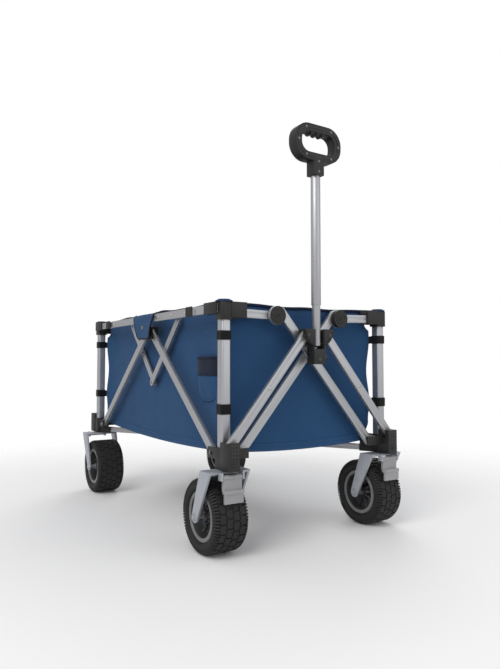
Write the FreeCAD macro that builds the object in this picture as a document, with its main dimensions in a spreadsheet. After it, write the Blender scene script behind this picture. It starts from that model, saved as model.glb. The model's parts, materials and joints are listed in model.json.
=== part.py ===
import FreeCAD, Part
import math
import os
import re
from types import SimpleNamespace

import Sketcher

# A folding wagon with a pull handle, in millimetres. +X points forward to the handle, +Y to the
# left and +Z up. The origin lies on the ground under the middle of the wagon.

SIZES = {
    # overall
    "post_span": 896,          # front posts to rear posts
    "post_track": 503,         # right posts to left posts
    "frame_tall": 394,         # underside of the lower blocks to the top of the brackets
    "fit_gap": 0.1,            # clearance of a sleeve or a running pin
    # posts
    "post_long": 26,
    "post_wide": 24,
    "post_round": 5,
    "post_wall": 1.6,
    "post_foot": 4,            # floor of a lower block, under the tube
    "shell_wall": 4,           # plastic round a tube
    # flat bars of the scissor linkages
    "bar_deep": 22,
    "bar_thick": 10,
    "bar_wall": 1.4,
    "pin_radius": 4,
    "plate_thick": 4.5,        # the cheeks of clevises and hubs
    "plate_gap": 1,            # between a bar and a cheek
    # front and rear linkage
    "outer_plane": 33,         # outer bars, forward of the posts
    "outer_low_out": 3.5,      # their low pivots, outward of the posts
    "outer_low_up": 54,
    "front_pin_apart": 70,
    "front_pin_drop": 76,      # under the top of the brackets, as are the other drops
    "hub_radius": 46,
    "hub_rise": 16,            # flat top of the front hub, over its pins
    "hub_back": 6,
    "hub_ahead": 18,
    "hub_foot_half": 18,
    "hub_foot_drop": 54,
    "hub_floor_gap": 2.3,      # under the room of the inner tube
    "knob_radius": 7,
    "knob_long": 15,
    "knob_drop": 34,
    "cross_back": -4,          # rear layer of the crossed bars, forward of the posts
    "cross_gap": 2,            # between the two layers
    "cross_low_in": 46.5,
    "cross_low_up": 33,        # over the underside of the blocks
    "disc_drop_top": 27,
    "disc_radius": 24,
    "disc_drop": 15.6,         # disc centre under the axis of its bar
    "link_in": 36.5,
    "link_across": 112,        # bracket pivot to disc
    "link_drop": 24,
    "link_cheek_low": 14,
    "link_cheek_over": 17,
    # side linkage
    "long_low_in": 46,
    "long_low_up": 32,
    "side_pin_apart": 40,
    "side_pin_drop": 56,
    "side_hub_half": 38,
    "side_hub_rise": 19,
    "side_hub_round": 8,
    "cross_from_hub": 91.4,
    "vee_drop": 148,           # under the pins of the side hub
    "short_top_span": 124.5,
    "short_deep": 20,
    "short_thick": 6.5,
    "short_gap": 1.25,         # from a long bar to the short bar beside it
    "short_layer_gap": 1,
    "rail_gap": 0.7,           # from a long bar to the ears of a top rail
    "rail_ear": 3,
    "rail_drop": 15,
    "rail_deep": 21,
    "rail_thick": 9,
    "rail_hinge_in": 138,
    "rail_hinge_room": 6,
    "rail_end": 80,            # from the middle of the wagon
    "rail_pin_radius": 3,
    # brackets
    "bracket_deep": 43,
    "bracket_arm": 61,
    "bracket_arm_low": 3,
    "cap_tall": 6,
    "cap_over": 2,
    # lower blocks
    "block_tall": 49,
    "block_front_tall": 64,
    "block_front_out": 17.5,
    "block_front_in": 14,
    "block_front_ahead": 19,
    "cheek_low": 11,
    "cheek_high": 13,
    "cheek_over": 12,
    "slot_gap": 0.6,           # round the end of an outer bar
    # base frame
    "base_lug_reach": 44,
    "base_tip_reach": 88,
    "base_up": 10,
    "base_deep": 16,
    "base_wide": 14,
    "base_lug_wall": 4,
    "base_lug_over": 9,
    "base_ear": 3,
    "base_plate": 6,
    "base_plate_gap": 2,       # between the bars and the plate over them
    "base_plate_edge": 12,
    # handle
    "handle_plane": 36,        # forward of the posts
    "handle_pivot_drop": 95,
    "pole_radius": 12.5,
    "pole_wall": 1.6,
    "stem_slide_gap": 0.3,
    "pole_low_up": 97,         # over the pivot
    "pole_long": 358,
    "inner_pole_short": 53,    # under the top of the outer tube
    "pole_foot": 7,            # tube under its pin
    "pole_swing_gap": 0.7,
    "pole_side_gap": 2,
    "pole_cheek": 5,
    "grip_wide": 148,
    "grip_tall": 94,
    "grip_deep": 30,
    "grip_up": 60,             # middle of the grip over the outer tube
    "grip_round": 43,
    "grip_bar": 20,
    "hole_round": 24,
    "bump_radius": 9,
    "bump_drop": 5,
    "socket_wall": 3.5,
    "socket_deep": 23,
    # wheels
    "tyre_radius": 89,
    "tyre_width": 90,
    "tyre_round": 14,
    "tyre_deep": 27,
    "tyre_ahead": 46,          # how far a tyre reaches past its swivel
    "tyre_side_gap": 4,
    "tyre_top_gap": 18,
    "rim_inset": 6,
    "rim_wall": 6,
    "rim_web": 18,
    "rim_hub": 18,
    "hub_end_gap": 2,
    "axle_radius": 6,
    "axle_over": 3,
    "leg_thick": 6,
    "leg_back": 17,
    "leg_front": 31,
    "leg_end_radius": 13,
    "fork_plate": 6,
    "swivel_gap": 2,
    "stem_radius": 7,
    "stem_rise": 28,
    # brake pedals
    "pedal_wide": 50,
    "pedal_hinge_out": 38,
    "pedal_hinge_drop": 14,    # under the blocks
    "pedal_eye": 3,
    "pedal_thick": 8,
    "pedal_lug": 5,
    "pedal_lug_tall": 18,
    "pedal_knee": 30,
    "pedal_long": 58,
    # fabric tub
    "tub_end_gap": 2,          # inside the faces of the lower blocks
    "tub_side_gap": 2.25,      # inside the short bars
    "tub_up": 39,
    "tub_over": 2,
    "tub_wall": 3,
    "tub_round": 28,
}

# what follows from the sizes, in order
DERIVED = {
    "fork_gap": "tyre_width + 2 * tyre_side_gap",
    "rim_radius": "tyre_radius - tyre_deep",
    "rim_width": "tyre_width - 2 * rim_inset",
    "trail": "tyre_radius - tyre_ahead",
    "block_bottom": "2 * tyre_radius + tyre_top_gap + fork_plate + swivel_gap",
    "bracket_top": "block_bottom + frame_tall",
    "cross_pitch": "bar_thick + cross_gap",
    "cross_low_height": "block_bottom + cross_low_up",
    "disc_height": "bracket_top - disc_drop_top",
    "disc_out": "post_track / 2 - link_in - link_across",
    "link_height": "bracket_top - link_drop",
    "front_pin_height": "bracket_top - front_pin_drop",
    "long_low_height": "block_bottom + long_low_up",
    "side_pin_height": "bracket_top - side_pin_drop",
    "vee_height": "side_pin_height - vee_drop",
    "short_front_plane": "bar_thick / 2 + short_gap + short_thick / 2",
    "short_rear_plane": "short_front_plane + short_thick + short_layer_gap",
    "rail_plane": "bar_thick / 2 + rail_gap + rail_ear + plate_gap + rail_thick / 2",
    "rail_height": "bracket_top - rail_drop",
    "rail_reach": "post_span / 2 - rail_hinge_in - rail_end",
    "base_height": "block_bottom + base_up",
    "handle_pivot_height": "bracket_top - handle_pivot_drop",
    "pole_swing": "pole_radius + pole_swing_gap",
    "pole_half_room": "pole_radius + pole_side_gap",
    "pole_bottom": "handle_pivot_height + pole_low_up",
    "pole_top": "pole_bottom + pole_long",
    "inner_pole_top": "pole_top - inner_pole_short",
    "hub_floor": "handle_pivot_height - pole_swing - hub_floor_gap",
    "grip_centre": "pole_top + grip_up",
    "hole_wide": "grip_wide - 2 * grip_bar",
    "hole_tall": "grip_tall - 2 * grip_bar",
    "socket_side": "2 * pole_radius + 2 * socket_wall",
    "socket_bottom": "pole_top - socket_deep",
    "pedal_hinge_height": "block_bottom - pedal_hinge_drop",
    "tub_bottom": "block_bottom + tub_up",
    "tub_top": "bracket_top + tub_over",
}


def formula(text, own=()):
    """A FreeCAD expression: each name gets the name of its sheet, unless it is the sheet's own."""
    def named(word):
        name = word[0]
        if name in own:
            return name
        return "dims." + name if name in SIZES else "derived." + name if name in DERIVED else name
    return re.sub(r"[a-z][a-z_]+", named, text)


def new_sheet(name, cells):
    """A spreadsheet with an alias for each cell."""
    sheet = doc.addObject("Spreadsheet::Sheet", name)
    for row, (alias, content) in enumerate(cells.items(), start=1):
        sheet.set(f"A{row}", alias)
        sheet.set(f"B{row}", content)
        sheet.setAlias(f"B{row}", alias)
    doc.recompute()
    return {alias: float(sheet.get(alias)) for alias in cells}


doc = FreeCAD.newDocument("wagon")
values = new_sheet("dims", {alias: str(value) for alias, value in SIZES.items()})
values.update(new_sheet("derived", {alias: "=" + formula(text, DERIVED) for alias, text in DERIVED.items()}))
d = SimpleNamespace(**values)

V = FreeCAD.Vector
UP = V(0, 0, 1)
AHEAD = V(1, 0, 0)
LEFT = V(0, 1, 0)
FAR = 1000                     # past the end of any sub-part, for tools that cut right through
sub_parts = []

FRONT = d.post_span / 2
SIDE = d.post_track / 2

# the cheeks that hold the crossed bars and top links, behind and ahead of both layers
CHEEKS_BACK = "cross_back - bar_thick / 2 - plate_gap - plate_thick"
CHEEKS_AHEAD = "cross_back + cross_pitch + bar_thick / 2 + plate_gap + plate_thick"

# the lower part of a short bar, from the middle of the wagon to the crossing pin
SHORT_LOWER = (
    "sqrt((side_pin_apart / 2"
    " + cross_from_hub * (post_span / 2 - long_low_in - side_pin_apart / 2) / {span})^2"
    " + (side_pin_height - cross_from_hub * (side_pin_height - long_low_height) / {span} - vee_height)^2)"
)


# ---------------------------------------------------------------- small tools

def bind(item, prop, text):
    item.setExpression(prop, formula(text))


def keep(item, label):
    """Names a finished sub-part: its label is its file's name."""
    item.Label = label
    sub_parts.append(item)
    return item


def box(low, high):
    """A box between two corners, each given as three formulas."""
    item = doc.addObject("Part::Box", "box")
    for prop, axis, a, b in zip(("Length", "Width", "Height"), "xyz", low, high):
        bind(item, prop, f"({b}) - ({a})")
        bind(item, f"Placement.Base.{axis}", a)
    return item


def rod(radius, start, length, axis=UP):
    """A cylinder from a start point, along an axis."""
    item = doc.addObject("Part::Cylinder", "rod")
    item.Placement = FreeCAD.Placement(V(), FreeCAD.Rotation(UP, axis))
    bind(item, "Radius", radius)
    bind(item, "Height", length)
    for name, where in zip("xyz", start):
        bind(item, f"Placement.Base.{name}", where)
    return item


def fuse(*shapes):
    item = doc.addObject("Part::MultiFuse", "joined")
    item.Shapes = list(shapes)
    item.Refine = True
    return item


def cut(base, *tools):
    item = doc.addObject("Part::Cut", "cut")
    item.Base = base
    item.Tool = tools[0] if len(tools) == 1 else fuse(*tools)
    return item


def rounded(base, radius, wanted):
    """Rounds the edges of the base that the test accepts."""
    doc.recompute()
    item = doc.addObject("Part::Fillet", "rounded")
    item.Base = base
    numbers = [n for n, edge in enumerate(base.Shape.Edges, start=1) if wanted(edge)]
    item.Edges = [(n, radius, radius) for n in numbers]
    return item


def along(axis):
    """A test for straight edges along an axis."""
    def straight(edge):
        is_line = edge.Curve.TypeId == "Part::GeomLine"
        return is_line and abs(edge.tangentAt(edge.FirstParameter) * axis) > 0.999
    return straight


def placed(item, x="0", y="0", z="0", turn=0.0):
    """The item, turned about Z in degrees and put at a point given as three formulas."""
    holder = doc.addObject("Part::Compound2", "placed")
    holder.Links = [item]
    holder.Placement = FreeCAD.Placement(V(), FreeCAD.Rotation(UP, turn))
    for name, where in zip("xyz", (x, y, z)):
        bind(holder, f"Placement.Base.{name}", where)
    return holder


def at_post(item, back="0", up="0"):
    """A corner's sub-part, drawn round its post's axis, put at the front right post."""
    return placed(item, f"post_span / 2 - ({back})", "-post_track / 2", up)


def mirror(item, normal, label):
    """The sub-part on the other side of the wagon."""
    twin = doc.addObject("Part::Mirroring", "mirrored")
    twin.Source = item
    twin.Normal = normal
    return keep(twin, label)


def on_corners(item, kind):
    """A front right sub-part and its three mirrored twins."""
    keep(item, kind + "_fr")
    left = mirror(item, LEFT, kind + "_fl")
    mirror(item, AHEAD, kind + "_rr")
    mirror(left, AHEAD, kind + "_rl")


# ---------------------------------------------------------------- sketches

def new_body():
    return doc.addObject("PartDesign::Body", "body")


def new_sketch(body, plane):
    sketch = body.newObject("Sketcher::SketchObject", "sketch")
    origin_plane = next(item for item in body.Origin.OriginFeatures if item.Role == plane)
    sketch.AttachmentSupport = [(origin_plane, "")]
    sketch.MapMode = "FlatFace"
    return sketch


def constrain(sketch, name, text, *terms):
    number = sketch.addConstraint(Sketcher.Constraint(*terms))
    sketch.renameConstraint(number, name)
    bind(sketch, "Constraints." + name, text)


def add_circle(sketch, name, radius, number, x=None, y=None, at=(0.0, 0.0)):
    """A circle; x and y are the formulas of its centre, and at says where that lies now."""
    sketch.addGeometry(Part.Circle(V(at[0], at[1], 0), UP, number))
    item = sketch.GeometryCount - 1
    constrain(sketch, name + "_radius", radius, "Radius", item, number)
    if x is None and y is None:
        sketch.addConstraint(Sketcher.Constraint("Coincident", item, 3, -1, 1))
        return
    for axis, where, value in (("X", x, at[0]), ("Y", y, at[1])):
        if where is None:
            sketch.addConstraint(Sketcher.Constraint("PointOnObject", item, 3, -1 if axis == "Y" else -2))
        else:
            constrain(sketch, name + "_" + axis.lower(), where, "Distance" + axis, -1, 1, item, 3, value)


def add_slot(sketch, length, radius, now, end_radius):
    """A slot from the origin along +X, with round ends."""
    quarter = math.pi / 2
    sketch.addGeometry(Part.LineSegment(V(0, end_radius, 0), V(now, end_radius, 0)))
    sketch.addGeometry(Part.ArcOfCircle(Part.Circle(V(now, 0, 0), UP, end_radius), -quarter, quarter))
    sketch.addGeometry(Part.LineSegment(V(now, -end_radius, 0), V(0, -end_radius, 0)))
    sketch.addGeometry(Part.ArcOfCircle(Part.Circle(V(), UP, end_radius), quarter, 3 * quarter))
    for first, end, second, start in ((0, 2, 1, 2), (1, 1, 2, 1), (2, 2, 3, 2), (3, 1, 0, 1)):
        sketch.addConstraint(Sketcher.Constraint("Tangent", first, end, second, start))
    sketch.addConstraint(Sketcher.Constraint("Horizontal", 0))
    sketch.addConstraint(Sketcher.Constraint("Coincident", 3, 3, -1, 1))
    constrain(sketch, "end_radius", radius, "Radius", 3, end_radius)
    constrain(sketch, "span", length, "DistanceX", 3, 3, 1, 3, now)


def add_rectangle(sketch, wide, tall, now):
    """A rectangle about the origin."""
    x, y = now[0] / 2, now[1] / 2
    corners = [V(-x, -y, 0), V(x, -y, 0), V(x, y, 0), V(-x, y, 0)]
    first = sketch.GeometryCount
    for k in range(4):
        sketch.addGeometry(Part.LineSegment(corners[k], corners[(k + 1) % 4]))
    for k in range(4):
        sketch.addConstraint(Sketcher.Constraint("Coincident", first + k, 2, first + (k + 1) % 4, 1))
        sketch.addConstraint(Sketcher.Constraint("Vertical" if k % 2 else "Horizontal", first + k))
    sketch.addConstraint(Sketcher.Constraint("Symmetric", first, 1, first + 1, 2, -1, 1))
    constrain(sketch, f"wide_{first}", wide, "DistanceX", first, 1, first, 2, now[0])
    constrain(sketch, f"tall_{first}", tall, "DistanceY", first + 1, 1, first + 1, 2, now[1])


def pad(body, sketch, length, side="Symmetric"):
    feature = body.newObject("PartDesign::Pad", "pad")
    feature.Profile = sketch
    feature.SideType = side
    bind(feature, "Length", length)
    return feature


def pocket(body, sketch):
    """A cut both ways from the sketch, through everything."""
    feature = body.newObject("PartDesign::Pocket", "pocket")
    feature.Profile = sketch
    feature.SideType = "Symmetric"
    feature.Type = "ThroughAll"
    return feature


# ---------------------------------------------------------------- flat bars

def bar(span, now, deep="bar_deep", thick="bar_thick", disc=False, middle_hole=None):
    """A hollow bar with round ends. Its pivots lie on X, its depth along Z and its thickness along Y."""
    depth, thickness = getattr(d, deep), getattr(d, thick)
    hole = d.pin_radius + d.fit_gap
    body = new_body()
    outline = new_sketch(body, "XZ_Plane")
    add_slot(outline, span, f"{deep} / 2", now, depth / 2)
    pad(body, outline, thick)
    inside = new_sketch(body, "YZ_Plane")
    walls = 2 * d.bar_wall
    add_rectangle(inside, f"{thick} - 2 * bar_wall", f"{deep} - 2 * bar_wall", (thickness - walls, depth - walls))
    pocket(body, inside)
    if disc:
        plate = new_sketch(body, "XZ_Plane")
        add_circle(plate, "disc", "disc_radius", d.disc_radius, span, "-disc_drop", (now, -d.disc_drop))
        pad(body, plate, thick)
    holes = new_sketch(body, "XZ_Plane")
    add_circle(holes, "near", "pin_radius + fit_gap", hole)
    if disc:
        add_circle(holes, "far", "pin_radius + fit_gap", hole, span, "-disc_drop", (now, -d.disc_drop))
    else:
        add_circle(holes, "far", "pin_radius + fit_gap", hole, span, None, (now, 0.0))
    if middle_hole:
        add_circle(holes, "middle", "pin_radius + fit_gap", hole, middle_hole[0], None, (middle_hole[1], 0.0))
    pocket(body, holes)
    return body


def aim(body, start, end):
    """Lays a bar from its first pivot towards a second point, with its depth upright."""
    ahead = (end - start).normalize()
    side = UP.cross(ahead).normalize()
    body.Placement = FreeCAD.Placement(start, FreeCAD.Rotation(ahead, side, ahead.cross(side), "XZY"))
    return body


def distance(across, upward):
    """The formula of a bar's span from its reach across and its rise."""
    return f"sqrt(({across})^2 + ({upward})^2)"


def outer_bars():
    """The two bars in front, from the lower blocks to the front hub."""
    across = "post_track / 2 + outer_low_out - front_pin_apart / 2"
    upward = "front_pin_height - block_bottom - outer_low_up"
    low = V(FRONT + d.outer_plane, -SIDE - d.outer_low_out, d.block_bottom + d.outer_low_up)
    high = V(low.x, -d.front_pin_apart / 2, d.front_pin_height)
    right = aim(bar(distance(across, upward), (high - low).Length), low, high)
    keep(right, "outer_bar_r")
    mirror(right, LEFT, "outer_bar_l")


def crossed_bars():
    """The crossed bars of the front and rear, with a disc at each upper end, and the links to the discs."""
    across = d.post_track / 2 - d.cross_low_in + d.disc_out
    upward = d.disc_height - d.cross_low_height
    reach = math.hypot(across, upward)
    along_bar = math.sqrt(reach ** 2 - d.disc_drop ** 2)
    lean = math.atan2(upward, across) + math.asin(d.disc_drop / reach)
    span = ("sqrt((post_track / 2 - cross_low_in + disc_out)^2"
            " + (disc_height - cross_low_height)^2 - disc_drop^2)")
    link_span = distance("post_track / 2 - link_in - disc_out", "link_height - disc_height")
    for layer, side, name in ((0, -1, "a"), (1, 1, "b")):
        plane = FRONT + d.cross_back + layer * d.cross_pitch
        low = V(plane, side * (SIDE - d.cross_low_in), d.cross_low_height)
        upper = low + V(0, -side * math.cos(lean), math.sin(lean))
        crossed = aim(bar(span, along_bar, disc=True), low, upper)
        keep(crossed, f"cross_bar_front_{name}")
        mirror(crossed, AHEAD, f"cross_bar_rear_{name}")
        pivot = V(plane, side * (SIDE - d.link_in), d.link_height)
        disc_centre = V(plane, side * d.disc_out, d.disc_height)
        link = aim(bar(link_span, (disc_centre - pivot).Length, deep="rail_deep"), pivot, disc_centre)
        hand = "r" if side < 0 else "l"
        keep(link, f"top_link_front_{hand}")
        mirror(link, AHEAD, f"top_link_rear_{hand}")


def side_bars():
    """Long bars, short bars and top rails of the side linkage."""
    low = V(FRONT - d.long_low_in, -SIDE, d.long_low_height)
    high = V(d.side_pin_apart / 2, -SIDE, d.side_pin_height)
    span = (high - low).Length
    span_text = distance("post_span / 2 - long_low_in - side_pin_apart / 2",
                         "side_pin_height - long_low_height")
    cross_text = f"{span_text} - cross_from_hub"
    long_bar = bar(span_text, span)
    pin = new_sketch(long_bar, "XZ_Plane")
    crossing = span - d.cross_from_hub
    add_circle(pin, "cross", "pin_radius", d.pin_radius, cross_text, None, (crossing, 0.0))
    pad(long_bar, pin, "short_rear_plane + short_thick / 2", "One side")
    on_corners(aim(long_bar, low, high), "long_bar")

    cross_point = high + (low - high).normalize() * d.cross_from_hub
    for plane, side, corner in (("short_front_plane", 1, "f"), ("short_rear_plane", -1, "r")):
        vee = V(0, -SIDE + getattr(d, plane), d.vee_height)
        crossing = V(side * cross_point.x, vee.y, cross_point.z)
        lower = (crossing - vee).Length
        text = SHORT_LOWER.format(span=span_text)
        short = bar(f"{text} + short_top_span", lower + d.short_top_span, deep="short_deep",
                    thick="short_thick", middle_hole=(text, lower))
        keep(aim(short, vee, crossing), f"short_bar_{corner}r")
        mirror(short, LEFT, f"short_bar_{corner}l")

    hinge = V(FRONT - d.rail_hinge_in, -SIDE - d.rail_plane, d.rail_height)
    rail = bar("rail_reach", d.rail_reach, deep="rail_deep", thick="rail_thick")
    on_corners(aim(rail, hinge, hinge - AHEAD), "top_rail")


def base_bars():
    """The bars under the tub, from the lower blocks to the base hub."""
    diagonal = math.hypot(FRONT, SIDE)
    inward = V(-FRONT, SIDE, 0).normalize()
    start = V(FRONT, -SIDE, d.base_height) + inward * d.base_lug_reach
    text = "sqrt((post_span / 2)^2 + (post_track / 2)^2) - base_lug_reach - base_tip_reach"
    span = diagonal - d.base_lug_reach - d.base_tip_reach
    on_corners(aim(bar(text, span, deep="base_deep", thick="base_wide"), start, start + inward), "base_bar")


def base_hub():
    """A plate over the inner ends of the base bars, with the ears and pin of the bar that carries it."""
    low = "base_height + base_deep / 2 + base_plate_gap"
    half_long = "base_tip_reach * post_span / sqrt(post_span^2 + post_track^2) + base_plate_edge"
    half_wide = "base_tip_reach * post_track / sqrt(post_span^2 + post_track^2) + base_plate_edge"
    slab = box((f"-({half_long})", f"-({half_wide})", low), (half_long, half_wide, f"{low} + base_plate"))
    plate = rounded(slab, d.base_plate_edge - 2, along(UP))
    ear_in = "(base_wide / 2 + plate_gap)"
    half = "base_deep / 2"
    ears = [box((f"base_tip_reach - {half}", f"{hand}{ear_in} - {back}", f"base_height - {half}"),
                (f"base_tip_reach + {half}", f"{hand}{ear_in} + {ahead}", f"{low} + 1"))
            for hand, back, ahead in (("-", "base_ear", "0"), ("", "0", "base_ear"))]
    pin = rod("pin_radius", ("base_tip_reach", f"-{ear_in} - 1", "base_height"), f"2 * {ear_in} + 2", LEFT)
    turn = math.degrees(math.atan2(-SIDE, FRONT))
    keep(fuse(plate, placed(fuse(*ears, pin), turn=turn)), "base_hub")


# ---------------------------------------------------------------- posts, brackets and blocks

def post_box(inset, low, high):
    """A box about the post's axis, inset from its outer faces by a formula."""
    x = f"(post_long / 2 - ({inset}))"
    y = f"(post_wide / 2 - ({inset}))"
    return box(("-" + x, "-" + y, low), (x, y, high))


def posts():
    """A post tube with the stub of the top rail, the ears of the rail's hinge and their pin."""
    foot = "block_bottom + post_foot"
    tube = rounded(post_box("0", foot, "bracket_top - shell_wall"), d.post_round, along(UP))
    rail_low, rail_high = "rail_height - rail_deep / 2", "rail_height + rail_deep / 2"
    tail = "rail_hinge_in - rail_deep / 2 - rail_hinge_room"
    stub = box((f"-({tail})", "-rail_plane - rail_thick / 2", rail_low),
               ("0", "-rail_plane + rail_thick / 2", rail_high))
    ear = "(rail_thick / 2 + plate_gap)"
    ears = box(("-rail_hinge_in - rail_deep / 2", f"-rail_plane - {ear} - rail_ear", rail_low),
               (f"-({tail}) + 8", f"-rail_plane + {ear} + rail_ear", rail_high))
    slot = box(("-rail_hinge_in - rail_deep", f"-rail_plane - {ear}", rail_low + " - 1"),
               (f"-({tail})", f"-rail_plane + {ear}", rail_high + " + 1"))
    pin = rod("rail_pin_radius", ("-rail_hinge_in", f"-rail_plane - {ear} - 1", "rail_height"),
              f"2 * {ear} + 2", LEFT)
    inside = post_box("post_wall", "block_bottom", "bracket_top")
    hollow = box((f"-({tail}) + bar_wall", "-rail_plane - rail_thick / 2 + bar_wall", f"{rail_low} + bar_wall"),
                 ("0", "-rail_plane + rail_thick / 2 - bar_wall", rail_high + " - bar_wall"))
    shape = cut(fuse(tube, stub, ears), slot, hollow, inside)
    on_corners(at_post(fuse(shape, pin)), "post")


def sleeve(low, high):
    """The room of the post tube in a plastic part, with its clearance."""
    return post_box("-fit_gap", low, high)


def top_brackets():
    """The bracket on a post's top: cap, rail socket and the fork of the top link."""
    low, high = "bracket_top - bracket_deep", "bracket_top"
    shell = rounded(post_box("-shell_wall", low, high), d.post_round, along(UP))
    cap = rod("post_long / 2 + cap_over", ("0", "0", high), "cap_tall")
    rail_in, rail_out = "-rail_plane + rail_thick / 2", "-rail_plane - rail_thick / 2"
    arm = box(("-bracket_arm", f"{rail_out} - shell_wall", "rail_height - rail_deep / 2 - bracket_arm_low"),
              ("0", f"{rail_in} + shell_wall", high))
    room = box(("-bracket_arm - 1", f"{rail_out} - fit_gap", "rail_height - rail_deep / 2 - fit_gap"),
               ("0", f"{rail_in} + fit_gap", "rail_height + rail_deep / 2 + fit_gap"))
    cheek_low = "link_height - link_cheek_low"
    cheeks = cheek_pair(cheek_low, high, "link_in + link_cheek_over")
    web = box((CHEEKS_BACK, "post_wide / 2", cheek_low),
              (CHEEKS_AHEAD, "link_in - rail_deep / 2 - 4.5", high))
    pin = rod("pin_radius", (CHEEKS_BACK, "link_in", "link_height"),
              f"({CHEEKS_AHEAD}) - ({CHEEKS_BACK})", AHEAD)
    tube_room = sleeve("0", "bracket_top - shell_wall + fit_gap")
    on_corners(at_post(cut(fuse(shell, cap, arm, cheeks, web, pin), tube_room, room)), "top_bracket")


def cheek_pair(low, high, reach):
    """The two cheeks of a corner, from the post inward."""
    back = box((CHEEKS_BACK, "post_wide / 2 - 2", low), (f"{CHEEKS_BACK} + plate_thick", reach, high))
    ahead = box((f"{CHEEKS_AHEAD} - plate_thick", "post_wide / 2 - 2", low), (CHEEKS_AHEAD, reach, high))
    return fuse(back, ahead)


def lower_blocks():
    """The block at a post's foot, which holds the low pivots of every bar of its corner."""
    core = rounded(post_box("-shell_wall", "block_bottom", "block_bottom + block_tall"),
                   d.post_round, along(UP))
    low, high = "cross_low_height - cheek_low", "cross_low_height + cheek_high"
    web = box((CHEEKS_BACK, "post_wide / 2", low), (CHEEKS_AHEAD, "cross_low_in - bar_deep / 2 - 6", high))
    cross_pin = rod("pin_radius", (CHEEKS_BACK, "cross_low_in", "cross_low_height"),
                    f"({CHEEKS_AHEAD}) - ({CHEEKS_BACK})", AHEAD)
    cross = fuse(cheek_pair(low, high, "cross_low_in + cheek_over"), web, cross_pin)

    cheek = "(bar_thick / 2 + plate_gap)"
    side_low, side_high = "long_low_height - cheek_low - 1", "long_low_height + cheek_high + 1"
    side = [box(("-long_low_in - cheek_over - 2", f"{hand}{cheek} - {back}", side_low),
                ("0", f"{hand}{cheek} + {ahead}", side_high))
            for hand, back, ahead in (("-", "plate_thick", "0"), ("", "0", "plate_thick"))]
    side_pin = rod("pin_radius", ("-long_low_in", f"-{cheek} - 1", "long_low_height"),
                   f"2 * {cheek} + 2", LEFT)

    pivot_up = "block_bottom + outer_low_up"
    slot_in = "outer_plane - bar_thick / 2 - plate_gap"
    slot_out = "outer_plane + bar_thick / 2 + plate_gap"
    front = box(("post_long / 2", "-block_front_out", "block_bottom"),
                ("outer_plane + block_front_ahead", "block_front_in", "block_bottom + block_front_tall"))
    slot = box((slot_in, "-outer_low_out - bar_deep / 2 - slot_gap", f"{pivot_up} - bar_deep / 2 - slot_gap"),
               (slot_out, "block_front_in + 6", "block_bottom + block_front_tall + 6"))
    front_pin = rod("pin_radius", (f"{slot_in} - 2", "-outer_low_out", pivot_up),
                    f"({slot_out}) - ({slot_in}) + 4", AHEAD)

    stem_room = rod("stem_radius + fit_gap", ("0", "0", "block_bottom - 1"), "post_foot + 2")
    tube_room = sleeve("block_bottom + post_foot", "bracket_top")
    solid = cut(fuse(core, *side, front, base_lug(), cross), slot, stem_room, tube_room)
    on_corners(at_post(fuse(solid, side_pin, front_pin)), "lower_block")


def base_lug():
    """Two ears along the diagonal, with the pin of a base bar between them."""
    ear_in = "(base_wide / 2 + plate_gap)"
    top = "base_height + base_deep / 2"
    ears = [box(("10", f"{hand}{ear_in} - {back}", "block_bottom"),
                ("base_lug_reach + base_lug_over", f"{hand}{ear_in} + {ahead}", top))
            for hand, back, ahead in (("-", "base_lug_wall", "0"), ("", "0", "base_lug_wall"))]
    root = box(("0", f"-{ear_in} - base_lug_wall", "block_bottom"),
               ("base_lug_reach - base_deep / 2 - 2", f"{ear_in} + base_lug_wall", top))
    pin = rod("pin_radius", ("base_lug_reach", f"-{ear_in} - 1", "base_height"), f"2 * {ear_in} + 2", LEFT)
    return placed(fuse(*ears, root, pin), turn=math.degrees(math.atan2(SIDE, -FRONT)))


# ---------------------------------------------------------------- wheels

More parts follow.
